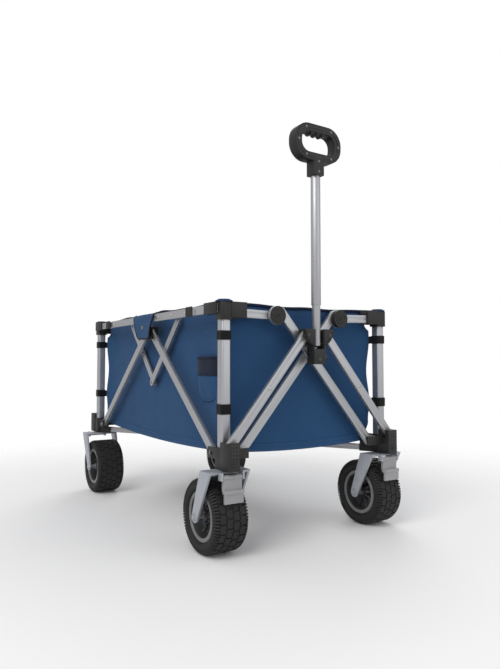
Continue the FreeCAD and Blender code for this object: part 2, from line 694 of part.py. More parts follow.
def forks():
    """A fork: plate, two tapered legs, axle, and a stem up into the post."""
    body = new_body()
    plate_top = d.block_bottom - d.swivel_gap
    plate_low = plate_top - d.fork_plate
    centre = V(-d.trail, d.tyre_radius, 0)
    legs = new_sketch(body, "XZ_Plane")
    corners = V(-d.leg_back, plate_top, 0), V(d.leg_front, plate_top, 0)
    back_point = touch_point(corners[0], centre, d.leg_end_radius, -1)
    front_point = touch_point(corners[1], centre, d.leg_end_radius, 1)
    legs.addGeometry(Part.LineSegment(corners[0], corners[1]))
    legs.addGeometry(Part.LineSegment(corners[1], front_point))
    angles = [math.atan2(p.y - centre.y, p.x - centre.x) for p in (back_point, front_point)]
    circle = Part.Circle(centre, UP, d.leg_end_radius)
    whole = 2 * math.pi
    legs.addGeometry(Part.ArcOfCircle(circle, angles[0] % whole, angles[1] % whole + whole))
    legs.addGeometry(Part.LineSegment(back_point, corners[0]))
    for terms in (("Coincident", 0, 2, 1, 1), ("Coincident", 3, 2, 0, 1), ("Tangent", 1, 2, 2, 2),
                  ("Tangent", 2, 1, 3, 1), ("Horizontal", 0)):
        legs.addConstraint(Sketcher.Constraint(*terms))
    top = "block_bottom - swivel_gap"
    constrain(legs, "plate_top", top, "DistanceY", -1, 1, 0, 1, plate_top)
    constrain(legs, "back", "-leg_back", "DistanceX", -1, 1, 0, 1, -d.leg_back)
    constrain(legs, "front", "leg_front", "DistanceX", -1, 1, 0, 2, d.leg_front)
    constrain(legs, "axle_back", "-trail", "DistanceX", -1, 1, 2, 3, -d.trail)
    constrain(legs, "axle_up", "tyre_radius", "DistanceY", -1, 1, 2, 3, d.tyre_radius)
    constrain(legs, "end_radius", "leg_end_radius", "Radius", 2, d.leg_end_radius)
    pad(body, legs, "fork_gap + 2 * leg_thick")
    doc.recompute()

    gap = box((f"-{FAR}", "-fork_gap / 2", "0"), (f"{FAR}", "fork_gap / 2", f"{top} - fork_plate"))
    half = "(fork_gap / 2 + leg_thick + axle_over)"
    axle = rod("axle_radius", ("-trail", f"-{half}", "tyre_radius"), f"2 * {half}", LEFT)
    stem = rod("stem_radius", ("0", "0", f"{top} - 1"), "stem_rise + 1")
    collar = rod("stem_radius + 5", ("0", "0", f"{top} - 1"), "swivel_gap + 0.7")
    lug_out = "pedal_hinge_out + rail_pin_radius + pedal_eye"
    lugs = [box(("leg_front - 2", low, f"{top} - pedal_lug_tall"), (lug_out, high, top))
            for low, high in (("pedal_wide / 2 + plate_gap", "pedal_wide / 2 + plate_gap + pedal_lug"),
                              ("-pedal_wide / 2 - plate_gap - pedal_lug", "-pedal_wide / 2 - plate_gap"))]
    pin = rod("rail_pin_radius", ("pedal_hinge_out", "-pedal_wide / 2 - 3", "pedal_hinge_height"),
              "pedal_wide + 6", LEFT)
    on_corners(at_post(fuse(cut(body, gap), axle, stem, collar, *lugs, pin)), "fork")


def touch_point(corner, centre, radius, side):
    """Where a line from a corner touches a circle, on one side of it."""
    reach = corner - centre
    turn = math.acos(radius / reach.Length)
    heading = math.atan2(reach.y, reach.x) - side * turn
    return centre + V(math.cos(heading), math.sin(heading), 0) * radius


def pedals():
    """A stepped brake pedal that hangs from the front of its fork."""
    def across(back, ahead, low, high):
        return box((f"pedal_hinge_out + {back}", "-pedal_wide / 2", f"pedal_hinge_height - {low}"),
                   (f"pedal_hinge_out + {ahead}", "pedal_wide / 2", f"pedal_hinge_height - {high}"))

    hinge = ("pedal_hinge_out", "-pedal_wide / 2", "pedal_hinge_height")
    eye = rod("rail_pin_radius + pedal_eye", hinge, "pedal_wide", LEFT)
    upper = across("(-pedal_thick / 2)", "pedal_thick / 2", "pedal_knee", "0")
    step = across("(-1)", "14", "(pedal_knee + 6)", "(pedal_knee - 2)")
    lower = across("5", "12", "pedal_long", "pedal_knee")
    bore = rod("rail_pin_radius + fit_gap", (hinge[0], f"-{FAR}", hinge[2]), f"2 * {FAR}", LEFT)
    right = at_post(cut(rounded(fuse(eye, upper, step, lower), 1.5, tip_edges), bore))
    keep(right, "brake_pedal_fr")
    mirror(right, LEFT, "brake_pedal_fl")


def tip_edges(edge):
    """The edges across the lower end of a pedal."""
    box_of = edge.BoundBox
    return along(LEFT)(edge) and box_of.ZMax < d.pedal_hinge_height - d.pedal_long + 8


def wheels():
    """A rim on its bore and a wide tyre round it."""
    gap_half = "(fork_gap / 2 - hub_end_gap)"
    hub = rod("rim_hub", ("0", f"-{gap_half}", "0"), f"2 * {gap_half}", LEFT)
    web = rod("rim_radius - 5", ("0", "-rim_web / 2", "0"), "rim_web", LEFT)
    barrel = cut(rod("rim_radius", ("0", "-rim_width / 2", "0"), "rim_width", LEFT),
                 rod("rim_radius - rim_wall", ("0", "-rim_width / 2 - 1", "0"), "rim_width + 2", LEFT))
    bore = rod("axle_radius + fit_gap", ("0", f"-{FAR}", "0"), f"2 * {FAR}", LEFT)
    on_corners(at_post(cut(fuse(hub, web, barrel), bore), "trail", "tyre_radius"), "rim")
    tread = rounded(rod("tyre_radius", ("0", "-tyre_width / 2", "0"), "tyre_width", LEFT),
                    d.tyre_round, is_round)
    rim_room = rod("rim_radius", ("0", f"-{FAR}", "0"), f"2 * {FAR}", LEFT)
    on_corners(at_post(cut(tread, rim_room), "trail", "tyre_radius"), "tyre")


def is_round(edge):
    return edge.Curve.TypeId == "Part::GeomCircle"


# ---------------------------------------------------------------- hubs

def front_hub():
    """The hub of the outer bars, with the fork of the handle."""
    plane = "(post_span / 2 + outer_plane)"
    inner = f"({plane} - bar_thick / 2 - plate_gap)"
    outer = f"({plane} + bar_thick / 2 + plate_gap)"
    back, ahead = f"({inner} - hub_back)", f"({plane} + hub_ahead)"
    top = "(front_pin_height + hub_rise)"
    pole = ("post_span / 2 + handle_plane", "-pole_half_room", "handle_pivot_height")
    half_round = cut(rod("hub_radius", (back, "0", top), f"{ahead} - {back}", AHEAD),
                     box(("0", f"-{FAR}", top), (f"{FAR}", f"{FAR}", f"{top} + {FAR}")),
                     box((inner, f"-{FAR}", "0"), (outer, f"{FAR}", f"{FAR}")),
                     box((inner, "-pole_half_room", "hub_floor"), (f"{FAR}", "pole_half_room", f"{FAR}")),
                     rod("pole_swing", pole, "2 * pole_half_room", LEFT),
                     rod("pole_radius", (pole[0], "0", pole[2]), "hub_radius + hub_rise"))
    cheeks = [box((f"{back} + 2", low, "hub_floor - 6"), (f"{ahead} - 2", high, top + " - 4"))
              for low, high in (("pole_half_room", "pole_half_room + pole_cheek"),
                                ("-pole_half_room - pole_cheek", "-pole_half_room"))]
    foot = box((back, "-hub_foot_half", "handle_pivot_height - hub_foot_drop"),
               (ahead, "hub_foot_half", "hub_floor"))
    knob = rod("knob_radius", (plane, "hub_foot_half - 1", "handle_pivot_height - knob_drop"),
               "knob_long", LEFT)
    pins = [rod("pin_radius", (f"{inner} - 1", f"{hand}front_pin_apart / 2", "front_pin_height"),
                f"{outer} - {inner} + 2", AHEAD) for hand in ("-", "")]
    pole_pin = rod("pin_radius", (pole[0], "-pole_half_room - 1", pole[2]), "2 * pole_half_room + 2", LEFT)
    keep(fuse(half_round, *cheeks, foot, knob, *pins, pole_pin), "front_hub")


def side_hubs():
    """The hub of a side's two long bars: two plates and their pins."""
    cheek = "(bar_thick / 2 + plate_gap)"
    low, high = "side_pin_height - side_hub_rise", "side_pin_height + side_hub_rise"
    plates = [rounded(box(("-side_hub_half", start, low), ("side_hub_half", end, high)),
                      d.side_hub_round, along(LEFT))
              for start, end in ((f"-post_track / 2 - {cheek} - plate_thick", f"-post_track / 2 - {cheek}"),
                                 (f"-post_track / 2 + {cheek}", f"-post_track / 2 + {cheek} + plate_thick"))]
    pins = [rod("pin_radius",
                (f"{hand}side_pin_apart / 2", f"-post_track / 2 - {cheek} - 1", "side_pin_height"),
                f"2 * {cheek} + 2", LEFT) for hand in ("-", "")]
    right = keep(fuse(*plates, *pins), "side_hub_r")
    mirror(right, LEFT, "side_hub_l")


# ---------------------------------------------------------------- handle

def tube(radius, wall, low, high):
    """An upright round tube on the handle's axis."""
    where = ("post_span / 2 + handle_plane", "0")
    outer = rod(radius, (*where, low), f"({high}) - ({low})")
    inner = rod(f"({radius}) - ({wall})", (*where, f"{low} - 1"), f"({high}) - ({low}) + 2")
    return cut(outer, inner)


def handle():
    """The inner tube on the hub's pin, the outer tube that slides on it, and the grip."""
    inner_radius = "pole_radius - pole_wall - stem_slide_gap"
    eye = rod("pin_radius + fit_gap", ("post_span / 2 + handle_plane", f"-{FAR}", "handle_pivot_height"),
              f"2 * {FAR}", LEFT)
    inner = tube(inner_radius, "pole_wall", "handle_pivot_height - pole_foot", "inner_pole_top")
    keep(cut(inner, eye), "handle_inner_tube")
    keep(tube("pole_radius", "pole_wall", "pole_bottom", "pole_top"), "handle_outer_tube")

    ring_body = new_body()
    ring_sketch = new_sketch(ring_body, "YZ_Plane")
    add_rectangle(ring_sketch, "grip_wide", "grip_tall", (d.grip_wide, d.grip_tall))
    pad(ring_body, ring_sketch, "grip_deep")
    hole_body = new_body()
    hole_sketch = new_sketch(hole_body, "YZ_Plane")
    add_rectangle(hole_sketch, "hole_wide", "hole_tall", (d.hole_wide, d.hole_tall))
    pad(hole_body, hole_sketch, "grip_deep + 2")
    ring = cut(rounded(ring_body, d.grip_round, along(AHEAD)), rounded(hole_body, d.hole_round, along(AHEAD)))
    bump_up = "hole_tall / 2 - bump_drop + bump_radius"
    bumps = [rod("bump_radius", ("-grip_deep / 2 + 2", f"{k} * 2 * bump_radius", bump_up),
                 "grip_deep - 4", AHEAD) for k in (-1, 0, 1)]
    side = "socket_side / 2"
    socket = box((f"-{side}", f"-{side}", "socket_bottom - grip_centre"), (side, side, "-hole_tall / 2 - 3"))
    room = rod("pole_radius + fit_gap", ("0", "0", "socket_bottom - grip_centre - 1"),
               "pole_top - socket_bottom + 1 + fit_gap")
    shape = cut(fuse(ring, *bumps, socket), room)
    keep(placed(shape, "post_span / 2 + handle_plane", "0", "grip_centre"), "grip")


# ---------------------------------------------------------------- tub

def tub():
    """The fabric tub, as an open box with rounded upright edges."""
    x = "(post_span / 2 - post_long / 2 - shell_wall - tub_end_gap)"
    y = "(post_track / 2 - short_rear_plane - short_thick / 2 - tub_side_gap)"
    outer = rounded(box((f"-{x}", f"-{y}", "tub_bottom"), (x, y, "tub_top")), d.tub_round, along(UP))
    inside_x, inside_y = f"({x} - tub_wall)", f"({y} - tub_wall)"
    room = box((f"-{inside_x}", f"-{inside_y}", "tub_bottom + tub_wall"), (inside_x, inside_y, "tub_top + 5"))
    inner = rounded(room, d.tub_round - d.tub_wall, along(UP))
    keep(cut(outer, inner), "tub")


def write_parts():
    """Checks every object and shape, then writes one file for each sub-part."""
    doc.recompute()
    failed = [item.Name for item in doc.Objects if {"Invalid", "Error"} & set(item.State)]
    if failed:
        raise RuntimeError(f"objects that failed: {failed}")
    for item in sub_parts:
        if item.Shape.isNull() or not item.Shape.isValid() or not item.Shape.Solids:
            raise RuntimeError(f"{item.Label} has no valid solid")
    os.makedirs("parts", exist_ok=True)
    for item in sub_parts:
        item.Shape.exportStep(f"parts/{item.Label}.step")
        print(item.Label, len(item.Shape.Solids), round(item.Shape.Volume))


outer_bars()
crossed_bars()
side_bars()
base_bars()
base_hub()
posts()
top_brackets()
lower_blocks()
forks()
pedals()
wheels()
front_hub()
side_hubs()
handle()
tub()
write_parts()
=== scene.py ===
import json
import math
from contextlib import contextmanager
from functools import partial

import bmesh
import bpy
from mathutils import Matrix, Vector


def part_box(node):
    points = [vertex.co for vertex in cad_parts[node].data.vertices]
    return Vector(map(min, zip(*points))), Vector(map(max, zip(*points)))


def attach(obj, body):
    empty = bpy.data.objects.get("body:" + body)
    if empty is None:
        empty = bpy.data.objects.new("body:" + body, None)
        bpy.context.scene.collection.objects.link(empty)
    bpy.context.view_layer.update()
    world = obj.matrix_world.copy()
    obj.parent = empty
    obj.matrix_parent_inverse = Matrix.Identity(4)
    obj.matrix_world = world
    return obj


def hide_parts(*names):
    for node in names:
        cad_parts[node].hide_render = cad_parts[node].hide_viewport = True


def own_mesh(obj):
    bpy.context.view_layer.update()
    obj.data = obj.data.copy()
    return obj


bl_info = {
    "name": "Folding Wagon",
    "version": (1, 0, 0),
    "blender": (4, 5, 0),
    "location": "3D View > Sidebar > Wagon",
    "description": "Cloth tub, tyres, trim, materials and studio for a folding wagon with a pull handle",
    "category": "Object",
}

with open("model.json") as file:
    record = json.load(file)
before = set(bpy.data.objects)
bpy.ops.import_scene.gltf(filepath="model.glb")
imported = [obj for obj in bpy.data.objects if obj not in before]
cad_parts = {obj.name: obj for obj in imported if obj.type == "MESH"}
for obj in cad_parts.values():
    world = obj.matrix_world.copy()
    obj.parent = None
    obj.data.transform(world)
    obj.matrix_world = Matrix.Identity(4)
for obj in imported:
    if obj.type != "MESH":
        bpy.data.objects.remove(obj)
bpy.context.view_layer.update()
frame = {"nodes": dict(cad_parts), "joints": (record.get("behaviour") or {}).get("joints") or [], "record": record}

CORNERS = {"fr": (1, -1), "fl": (1, 1), "rr": (-1, -1), "rl": (-1, 1)}
SIDES = {"r": -1, "l": 1}


def joint_point(name):
    """Where a joint of the frame lies at rest."""
    found = next(item for item in frame["joints"] if item["name"] == name)
    return Vector(found["pos_m"])


def face_of(node, axis, sign):
    """Where a node's box ends along an axis (0 to 2), on its plus or minus side."""
    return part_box(node)[sign > 0][axis]


POST = Vector((*joint_point("caster_fl").xy, 0))
TUB_LOW, TUB_HIGH = (Vector(corner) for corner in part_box("tub"))
BRACKET_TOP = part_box("top_bracket_fl")[1][2]
RAIL_Z = joint_point("rail_fl_turn").z


# ------------------------------------------------------------------ settings

def size(name, default, description, low=0.0):
    return bpy.props.FloatProperty(name=name, default=default, min=low, description=description,
                                   unit="LENGTH", precision=4)


def shade(name, default, description):
    return bpy.props.FloatVectorProperty(name=name, default=default, size=3, min=0.0, max=1.0,
                                         subtype="COLOR", description=description)


class WagonClothSettings(bpy.types.PropertyGroup):
    outer: shade("Outer cloth", (0.019, 0.071, 0.175), "Colour of the tub outside")
    lining: shade("Lining", (0.006, 0.014, 0.042), "Colour of the tub inside and its bindings")
    black: shade("Webbing", (0.007, 0.007, 0.008), "Colour of straps and black cloth")
    thread: size("Thread", 0.0011, "Pitch of the cloth's weave")
    thickness: size("Thickness", 0.0022, "Thickness of the tub's wall")
    edge_pull: size("Edge pull", 0.0065, "How far a wall's upright edge bows in between its straps")
    edge_hold: size("Edge hold", 0.0055, "How far the straps draw a wall's upright edge to its post")
    binding: size("Binding", 0.0045, "Radius of the rim's binding")
    stitch: size("Stitch", 0.0042, "Length of one stitch")
    strap_high: size("Upper strap", 0.518, "Height of the upper post straps")
    strap_low: size("Lower strap", 0.343, "Height of the lower post straps")
    strap_tall: size("Strap height", 0.024, "Height of a post strap")


class WagonMetalSettings(bpy.types.PropertyGroup):
    aluminium: shade("Aluminium", (0.47, 0.475, 0.495), "Colour of the tubes")
    paint: shade("Fork paint", (0.37, 0.39, 0.43), "Colour of the wheel forks")
    plastic: shade("Plastic", (0.0115, 0.011, 0.0105), "Colour of the brackets and hubs")
    pedal: shade("Pedal", (0.30, 0.30, 0.31), "Colour of the brake pedals")
    rubber: shade("Rubber", (0.013, 0.0125, 0.0125), "Colour of the tyres")
    rim: shade("Rim", (0.035, 0.036, 0.038), "Colour of the wheels inside the tyres")
    rim_ring: shade("Rim ring", (0.16, 0.16, 0.165), "Colour of the ring at a rim's edge")
    rounding: size("Rounding", 0.0011, "Rounding of the plastic parts' edges")
    rivet: size("Rivet", 0.0052, "Radius of a rivet's head")


class WagonStageSettings(bpy.types.PropertyGroup):
    camera_at: bpy.props.FloatVectorProperty(name="Camera", default=(1.657, -0.950, 0.4515), size=3,
                                             subtype="TRANSLATION", description="Where the camera stands")
    azimuth: bpy.props.FloatProperty(name="Azimuth", default=math.radians(57.44), subtype="ANGLE",
                                     description="Turn of the camera about the upright")
    pitch: bpy.props.FloatProperty(name="Pitch", default=math.radians(2.8), subtype="ANGLE",
                                   description="How far the camera looks up")
    lens: bpy.props.FloatProperty(name="Lens", default=31.6, description="Focal length in millimetres")
    floor: shade("Floor", (0.93, 0.93, 0.935), "Colour of the studio floor")
    ambient: bpy.props.FloatProperty(name="Ambient", default=0.62, min=0.0,
                                     description="Strength of the soft light all round")


def cloth():
    return bpy.context.scene.wagon_cloth


def metal():
    return bpy.context.scene.wagon_metal


# ------------------------------------------------------------------ node trees

SURFACE = (("Colour", "Color"), ("Height", "Float"), ("Roughness", "Float"))
SHAPE = (("Geometry", "Geometry"),)


def add_node(tree, kind, settings=None, **inputs):
    """A node with its inputs set or linked: i0 is its first input, and Some_Name its input Some Name."""
    node = tree.nodes.new(kind)
    for key, value in (settings or {}).items():
        setattr(node, key, value)
    for key, value in inputs.items():
        socket = node.inputs[int(key[1:]) if key[0] == "i" and key[1:].isdigit() else key.replace("_", " ")]
        if isinstance(value, bpy.types.NodeSocket):
            tree.links.new(value, socket)
        else:
            socket.default_value = value
    return node


def math_node(tree, operation, first, second=0.0, clamp=False):
    settings = {"operation": operation, "use_clamp": clamp}
    return add_node(tree, "ShaderNodeMath", settings, i0=first, i1=second).outputs[0]


def new_tree(kind, name, inputs, outputs):
    """A node tree with (label, kind) or (label, kind, default) inputs, and (label, kind) outputs."""
    tree = bpy.data.node_groups.new(name, kind)
    for label, socket_kind, *default in inputs:
        socket = tree.interface.new_socket(label, in_out="INPUT", socket_type="NodeSocket" + socket_kind)
        if default:
            socket.default_value = default[0]
    for label, socket_kind in outputs:
        tree.interface.new_socket(label, in_out="OUTPUT", socket_type="NodeSocket" + socket_kind)
    return tree, tree.nodes.new("NodeGroupInput").outputs, tree.nodes.new("NodeGroupOutput").inputs


def mixed(tree, factor, first, second):
    return add_node(tree, "ShaderNodeMix", {"data_type": "RGBA"}, i0=factor, i6=first, i7=second).outputs[2]


def weave_group():
    """Plain weave in the piece's own UV map, which is in metres."""
    tree, given, made = new_tree(
        "ShaderNodeTree", "Plain weave",
        [("Colour", "Color", (0.1, 0.1, 0.1, 1)), ("Dark", "Color", (0, 0, 0, 1)),
         ("Thread", "Float", 0.001), ("Fade", "Float", 0.3)],
        SURFACE)
    calc = partial(math_node, tree)
    uv = tree.nodes.new("ShaderNodeUVMap").outputs[0]
    parts = add_node(tree, "ShaderNodeSeparateXYZ", Vector=uv).outputs
    waves = []
    for part in (parts[0], parts[1]):
        turns = calc("DIVIDE", part, given["Thread"])
        waves.append(calc("SINE", calc("MULTIPLY", turns, 2 * math.pi)))
    height = calc("MULTIPLY", waves[0], waves[1])
    where = tree.nodes.new("ShaderNodeTexCoord").outputs["Object"]
    cloud = add_node(tree, "ShaderNodeTexNoise", Vector=where, Scale=7.0, Detail=4.0, Roughness=0.6).outputs[0]
    slub = add_node(tree, "ShaderNodeTexNoise", Vector=where, Scale=420.0, Detail=2.0).outputs[0]
    fade = calc("MULTIPLY", calc("SUBTRACT", cloud, 0.32, True), given["Fade"])
    thread = calc("MULTIPLY", calc("SUBTRACT", 0.62, slub, True), 0.9)
    tone = calc("ADD", fade, thread, True)
    tree.links.new(mixed(tree, tone, given["Colour"], given["Dark"]), made["Colour"])
    bumpy = calc("ADD", calc("MULTIPLY", height, 0.5), slub)
    tree.links.new(bumpy, made["Height"])
    tree.links.new(calc("ADD", calc("MULTIPLY", cloud, 0.25), 0.68), made["Roughness"])
    return tree


def grain_group():
    """Fine grain and soft mottling of moulded, painted or extruded surfaces."""
    tree, given, made = new_tree(
        "ShaderNodeTree", "Surface grain",
        [("Colour", "Color", (0.1, 0.1, 0.1, 1)), ("Worn", "Color", (0.3, 0.3, 0.3, 1)),
         ("Grain", "Float", 900.0), ("Mottle", "Float", 14.0), ("Wear", "Float", 0.2),
         ("Roughness", "Float", 0.5)],
        SURFACE)
    calc = partial(math_node, tree)
    where = tree.nodes.new("ShaderNodeTexCoord").outputs["Object"]
    fine = add_node(tree, "ShaderNodeTexNoise", Vector=where, Scale=given["Grain"], Detail=3.0).outputs[0]
    broad = add_node(tree, "ShaderNodeTexNoise", Vector=where, Scale=given["Mottle"], Detail=5.0,
                     Roughness=0.65).outputs[0]
    edge = tree.nodes.new("ShaderNodeNewGeometry").outputs["Pointiness"]
    sharp = calc("MULTIPLY", calc("SUBTRACT", edge, 0.53, True), 9.0, True)
    rubbed = calc("MULTIPLY", calc("MULTIPLY", sharp, broad), given["Wear"], True)
    dust = calc("MULTIPLY", calc("SUBTRACT", broad, 0.42, True), given["Wear"])
    tone = calc("ADD", rubbed, dust, True)
    tree.links.new(mixed(tree, tone, given["Colour"], given["Worn"]), made["Colour"])
    tree.links.new(fine, made["Height"])
    varied = calc("MULTIPLY", calc("SUBTRACT", broad, 0.5), 0.28)
    tree.links.new(calc("ADD", given["Roughness"], varied, True), made["Roughness"])
    return tree


def finish_material(name, group, values, bump, distance, shader_values):
    """A material whose colour, roughness and bump come from a node group."""
    material = bpy.data.materials.new(name)
    material.use_nodes = True
    tree = material.node_tree
    shader = tree.nodes["Principled BSDF"]
    source = add_node(tree, "ShaderNodeGroup", {"node_tree": group}, **values)
    relief = add_node(tree, "ShaderNodeBump", Strength=bump, Distance=distance, Height=source.outputs["Height"])
    tree.links.new(source.outputs["Colour"], shader.inputs["Base Color"])
    tree.links.new(source.outputs["Roughness"], shader.inputs["Roughness"])
    tree.links.new(relief.outputs[0], shader.inputs["Normal"])
    for label, value in shader_values.items():
        shader.inputs[label].default_value = value
    return material


MATERIALS = {}


def rgba(colour, factor=1.0):
    return (*(min(1.0, part * factor) for part in colour), 1.0)


def make_cloth_materials():
    group = weave_group()
    look = cloth()
    for name, colour, thread, sheen in (("outer_cloth", look.outer, look.thread, 0.08),
                                        ("lining_cloth", look.lining, look.thread, 0.08),
                                        ("black_webbing", look.black, look.thread * 1.6, 0.15),
                                        ("window_mesh", (0.011, 0.016, 0.036), look.thread * 2.2, 0.1)):
        values = {"Colour": rgba(colour), "Dark": rgba(colour, 0.55), "Thread": thread, "Fade": 0.35}
        MATERIALS[name] = finish_material(name, group, values, 0.35, 0.0004,
                                          {"Sheen Weight": sheen, "Sheen Roughness": 0.4, "Specular IOR Level": 0.2})


def make_hard_materials():
    group = grain_group()
    look = metal()
    table = (
        ("aluminium", look.aluminium, 1.25, 700, 9, 0.25, 0.46, 0.05, {"Metallic": 0.9}),
        ("black_plastic", look.plastic, 3.2, 1600, 18, 0.35, 0.48, 0.25, {"Specular IOR Level": 0.42}),
        ("fork_paint", look.paint, 1.5, 1200, 12, 0.2, 0.34, 0.08, {"Metallic": 0.25, "Coat Weight": 0.15}),
        ("pedal_plastic", look.pedal, 1.5, 1400, 16, 0.3, 0.42, 0.15, {"Specular IOR Level": 0.5}),
        ("rim_plastic", look.rim, 3.0, 1400, 20, 0.35, 0.42, 0.15, {"Specular IOR Level": 0.5}),
        ("rim_ring", look.rim_ring, 1.6, 1200, 14, 0.3, 0.40, 0.10, {"Specular IOR Level": 0.5}),
        ("tyre_rubber", look.rubber, 3.4, 1100, 26, 0.45, 0.66, 0.30, {"Specular IOR Level": 0.35}),
        ("steel", (0.46, 0.46, 0.47), 1.3, 800, 30, 0.3, 0.30, 0.05, {"Metallic": 1.0}),
        ("thread", (0.045, 0.10, 0.21), 0.6, 900, 30, 0.2, 0.75, 0.10, {"Sheen Weight": 0.3}),
    )
    for name, colour, worn, grain, mottle, wear, roughness, bump, extra in table:
        values = {"Colour": rgba(colour), "Worn": rgba(colour, worn), "Grain": grain, "Mottle": mottle,
                  "Wear": wear, "Roughness": roughness}
        MATERIALS[name] = finish_material(name, group, values, bump, 0.0003, extra)


# ------------------------------------------------------------------ mesh tools

def linked(name, data):
    piece = bpy.data.objects.new(name, data)
    bpy.context.scene.collection.objects.link(piece)
    return piece


def new_piece(name, points, faces, *material_names):
    mesh = bpy.data.meshes.new(name)
    mesh.from_pydata([tuple(point) for point in points], [], faces)
    for material_name in material_names:
        mesh.materials.append(MATERIALS[material_name])
    mesh.validate()
    return linked(name, mesh)


def from_bmesh(name, mesh):
    data = bpy.data.meshes.new(name)
    mesh.to_mesh(data)
    mesh.free()
    return linked(name, data)


@contextmanager
def edited(piece):
    """Opens a piece's mesh for editing, and puts it back."""
    mesh = bmesh.new()
    mesh.from_mesh(piece.data)
    yield mesh
    mesh.to_mesh(piece.data)
    mesh.free()


def applied(piece):
    """Bakes a piece's modifiers into a plain mesh."""
    graph = bpy.context.evaluated_depsgraph_get()
    mesh = bpy.data.meshes.new_from_object(piece.evaluated_get(graph), depsgraph=graph)
    piece.modifiers.clear()
    piece.data = mesh
    mesh.name = piece.name
    return piece


def smooth(piece, angle=math.radians(34)):
    piece.data.shade_smooth()
    piece.data.set_sharp_from_angle(angle=angle)
    return piece


def with_modifier(piece, kind, **settings):
    modifier = piece.modifiers.new(kind.lower(), kind)
    for key, value in settings.items():
        setattr(modifier, key, value)
    return piece


def outward(piece):
    with edited(piece) as mesh:
        bmesh.ops.remove_doubles(mesh, verts=mesh.verts, dist=1e-6)
        bmesh.ops.recalc_face_normals(mesh, faces=mesh.faces)
    return piece


def grid_faces(rows, columns, wrap=False):
    """Quads of a grid whose rows follow each other; wrap closes each row."""
    faces = []
    for row in range(rows - 1):
        for column in range(columns if wrap else columns - 1):
            after = (column + 1) % columns
            low, high = row * columns, (row + 1) * columns
            faces.append((low + column, low + after, high + after, high + column))
    return faces


def lofted(name, rows, material_name, loop=False):
    """A skin over rings of points. Its ends are capped, or joined to each other when loop is set."""
    count, last = len(rows[0]), (len(rows) - 1) * len(rows[0])
    faces = grid_faces(len(rows), count, wrap=True)
    if loop:
        faces += [(last + k, last + (k + 1) % count, (k + 1) % count, k) for k in range(count)]
    else:
        faces += [tuple(range(count))[::-1], tuple(range(last, last + count))]
    return outward(new_piece(name, [point for row in rows for point in row], faces, material_name))


def ride_on(piece, body):
    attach(piece, body)
    return piece


def tube_along(name, path, radius, material_name, closed=False, sides=8):
    """A round tube along a path of points."""
    count = len(path)
    rings = []
    for k, here in enumerate(path):
        before = path[(k - 1) % count] if closed or k else path[0]
        after = path[(k + 1) % count] if closed or k < count - 1 else path[-1]
        ahead = (after - before).normalized()
        across = ahead.cross(Vector((0, 0, 1)))
        if across.length < 0.2:
            across = ahead.cross(Vector((0, 1, 0)))
        across.normalize()
        above = across.cross(ahead)
        angles = [2 * math.pi * turn / sides for turn in range(sides)]
        rings.append([here + across * math.cos(angle) * radius + above * math.sin(angle) * radius for angle in angles])
    return smooth(lofted(name, rings, material_name, closed), math.radians(50))


def softened(node, width, material_name, angle=math.radians(32)):
    """A copy of a frame node with its edges rounded, which stands for the node."""
    mesh = bmesh.new()
    mesh.from_mesh(frame["nodes"][node].data)
    bmesh.ops.remove_doubles(mesh, verts=mesh.verts, dist=1e-5)
    bmesh.ops.dissolve_limit(mesh, angle_limit=math.radians(0.8), verts=mesh.verts, edges=mesh.edges)
    piece = from_bmesh(node + "_finished", mesh)
    piece.data.materials.append(MATERIALS[material_name])
    with_modifier(piece, "BEVEL", width=width, segments=2, limit_method="ANGLE", angle_limit=angle,
                  use_clamp_overlap=True)
    applied(piece)
    smooth(piece, math.radians(40))
    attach(piece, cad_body(node))
    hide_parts(node)
    return piece


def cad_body(node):
    return next(body for body, nodes in frame["record"]["behaviour"]["bodies"].items() if node in nodes)


def slot_of(node):
    return next(item["material_slot"] for item in frame["record"]["subparts"] if item["node"] == node)


# ------------------------------------------------------------------ geometry node trees

def end_tree(tree, instances, material_socket, out):
    real = add_node(tree, "GeometryNodeRealizeInstances", Geometry=instances).outputs[0]
    done = add_node(tree, "GeometryNodeSetMaterial", Geometry=real, Material=material_socket).outputs[0]
    tree.links.new(done, out["Geometry"])


def rivet_tree():
    """A domed head with a flat rim at each point, standing along the point's facing attribute."""
    tree, given, out = new_tree("GeometryNodeTree", "Rivet heads", [
        ("Geometry", "Geometry"), ("Radius", "Float", 0.005),
        ("Height", "Float", 0.0018), ("Material", "Material")], SHAPE)
    out_by = add_node(tree, "GeometryNodeInputNamedAttribute", {"data_type": "FLOAT_VECTOR"}, Name="facing").outputs[0]
    turn = add_node(tree, "FunctionNodeAlignRotationToVector", {"axis": "Z"}, Vector=out_by).outputs[0]
    dome = add_node(tree, "GeometryNodeMeshUVSphere", Segments=18, Rings=10, Radius=given["Radius"]).outputs[0]
    flat = math_node(tree, "DIVIDE", given["Height"], given["Radius"])
    squat = add_node(tree, "ShaderNodeCombineXYZ", X=1.0, Y=1.0, Z=flat).outputs[0]
    head = add_node(tree, "GeometryNodeTransform", Geometry=dome, Scale=squat).outputs[0]
    soft = add_node(tree, "GeometryNodeSetShadeSmooth", Geometry=head).outputs[0]
    heads = add_node(tree, "GeometryNodeInstanceOnPoints", Points=given["Geometry"], Instance=soft,
                     Rotation=turn).outputs[0]
    end_tree(tree, heads, given["Material"], out)
    return tree


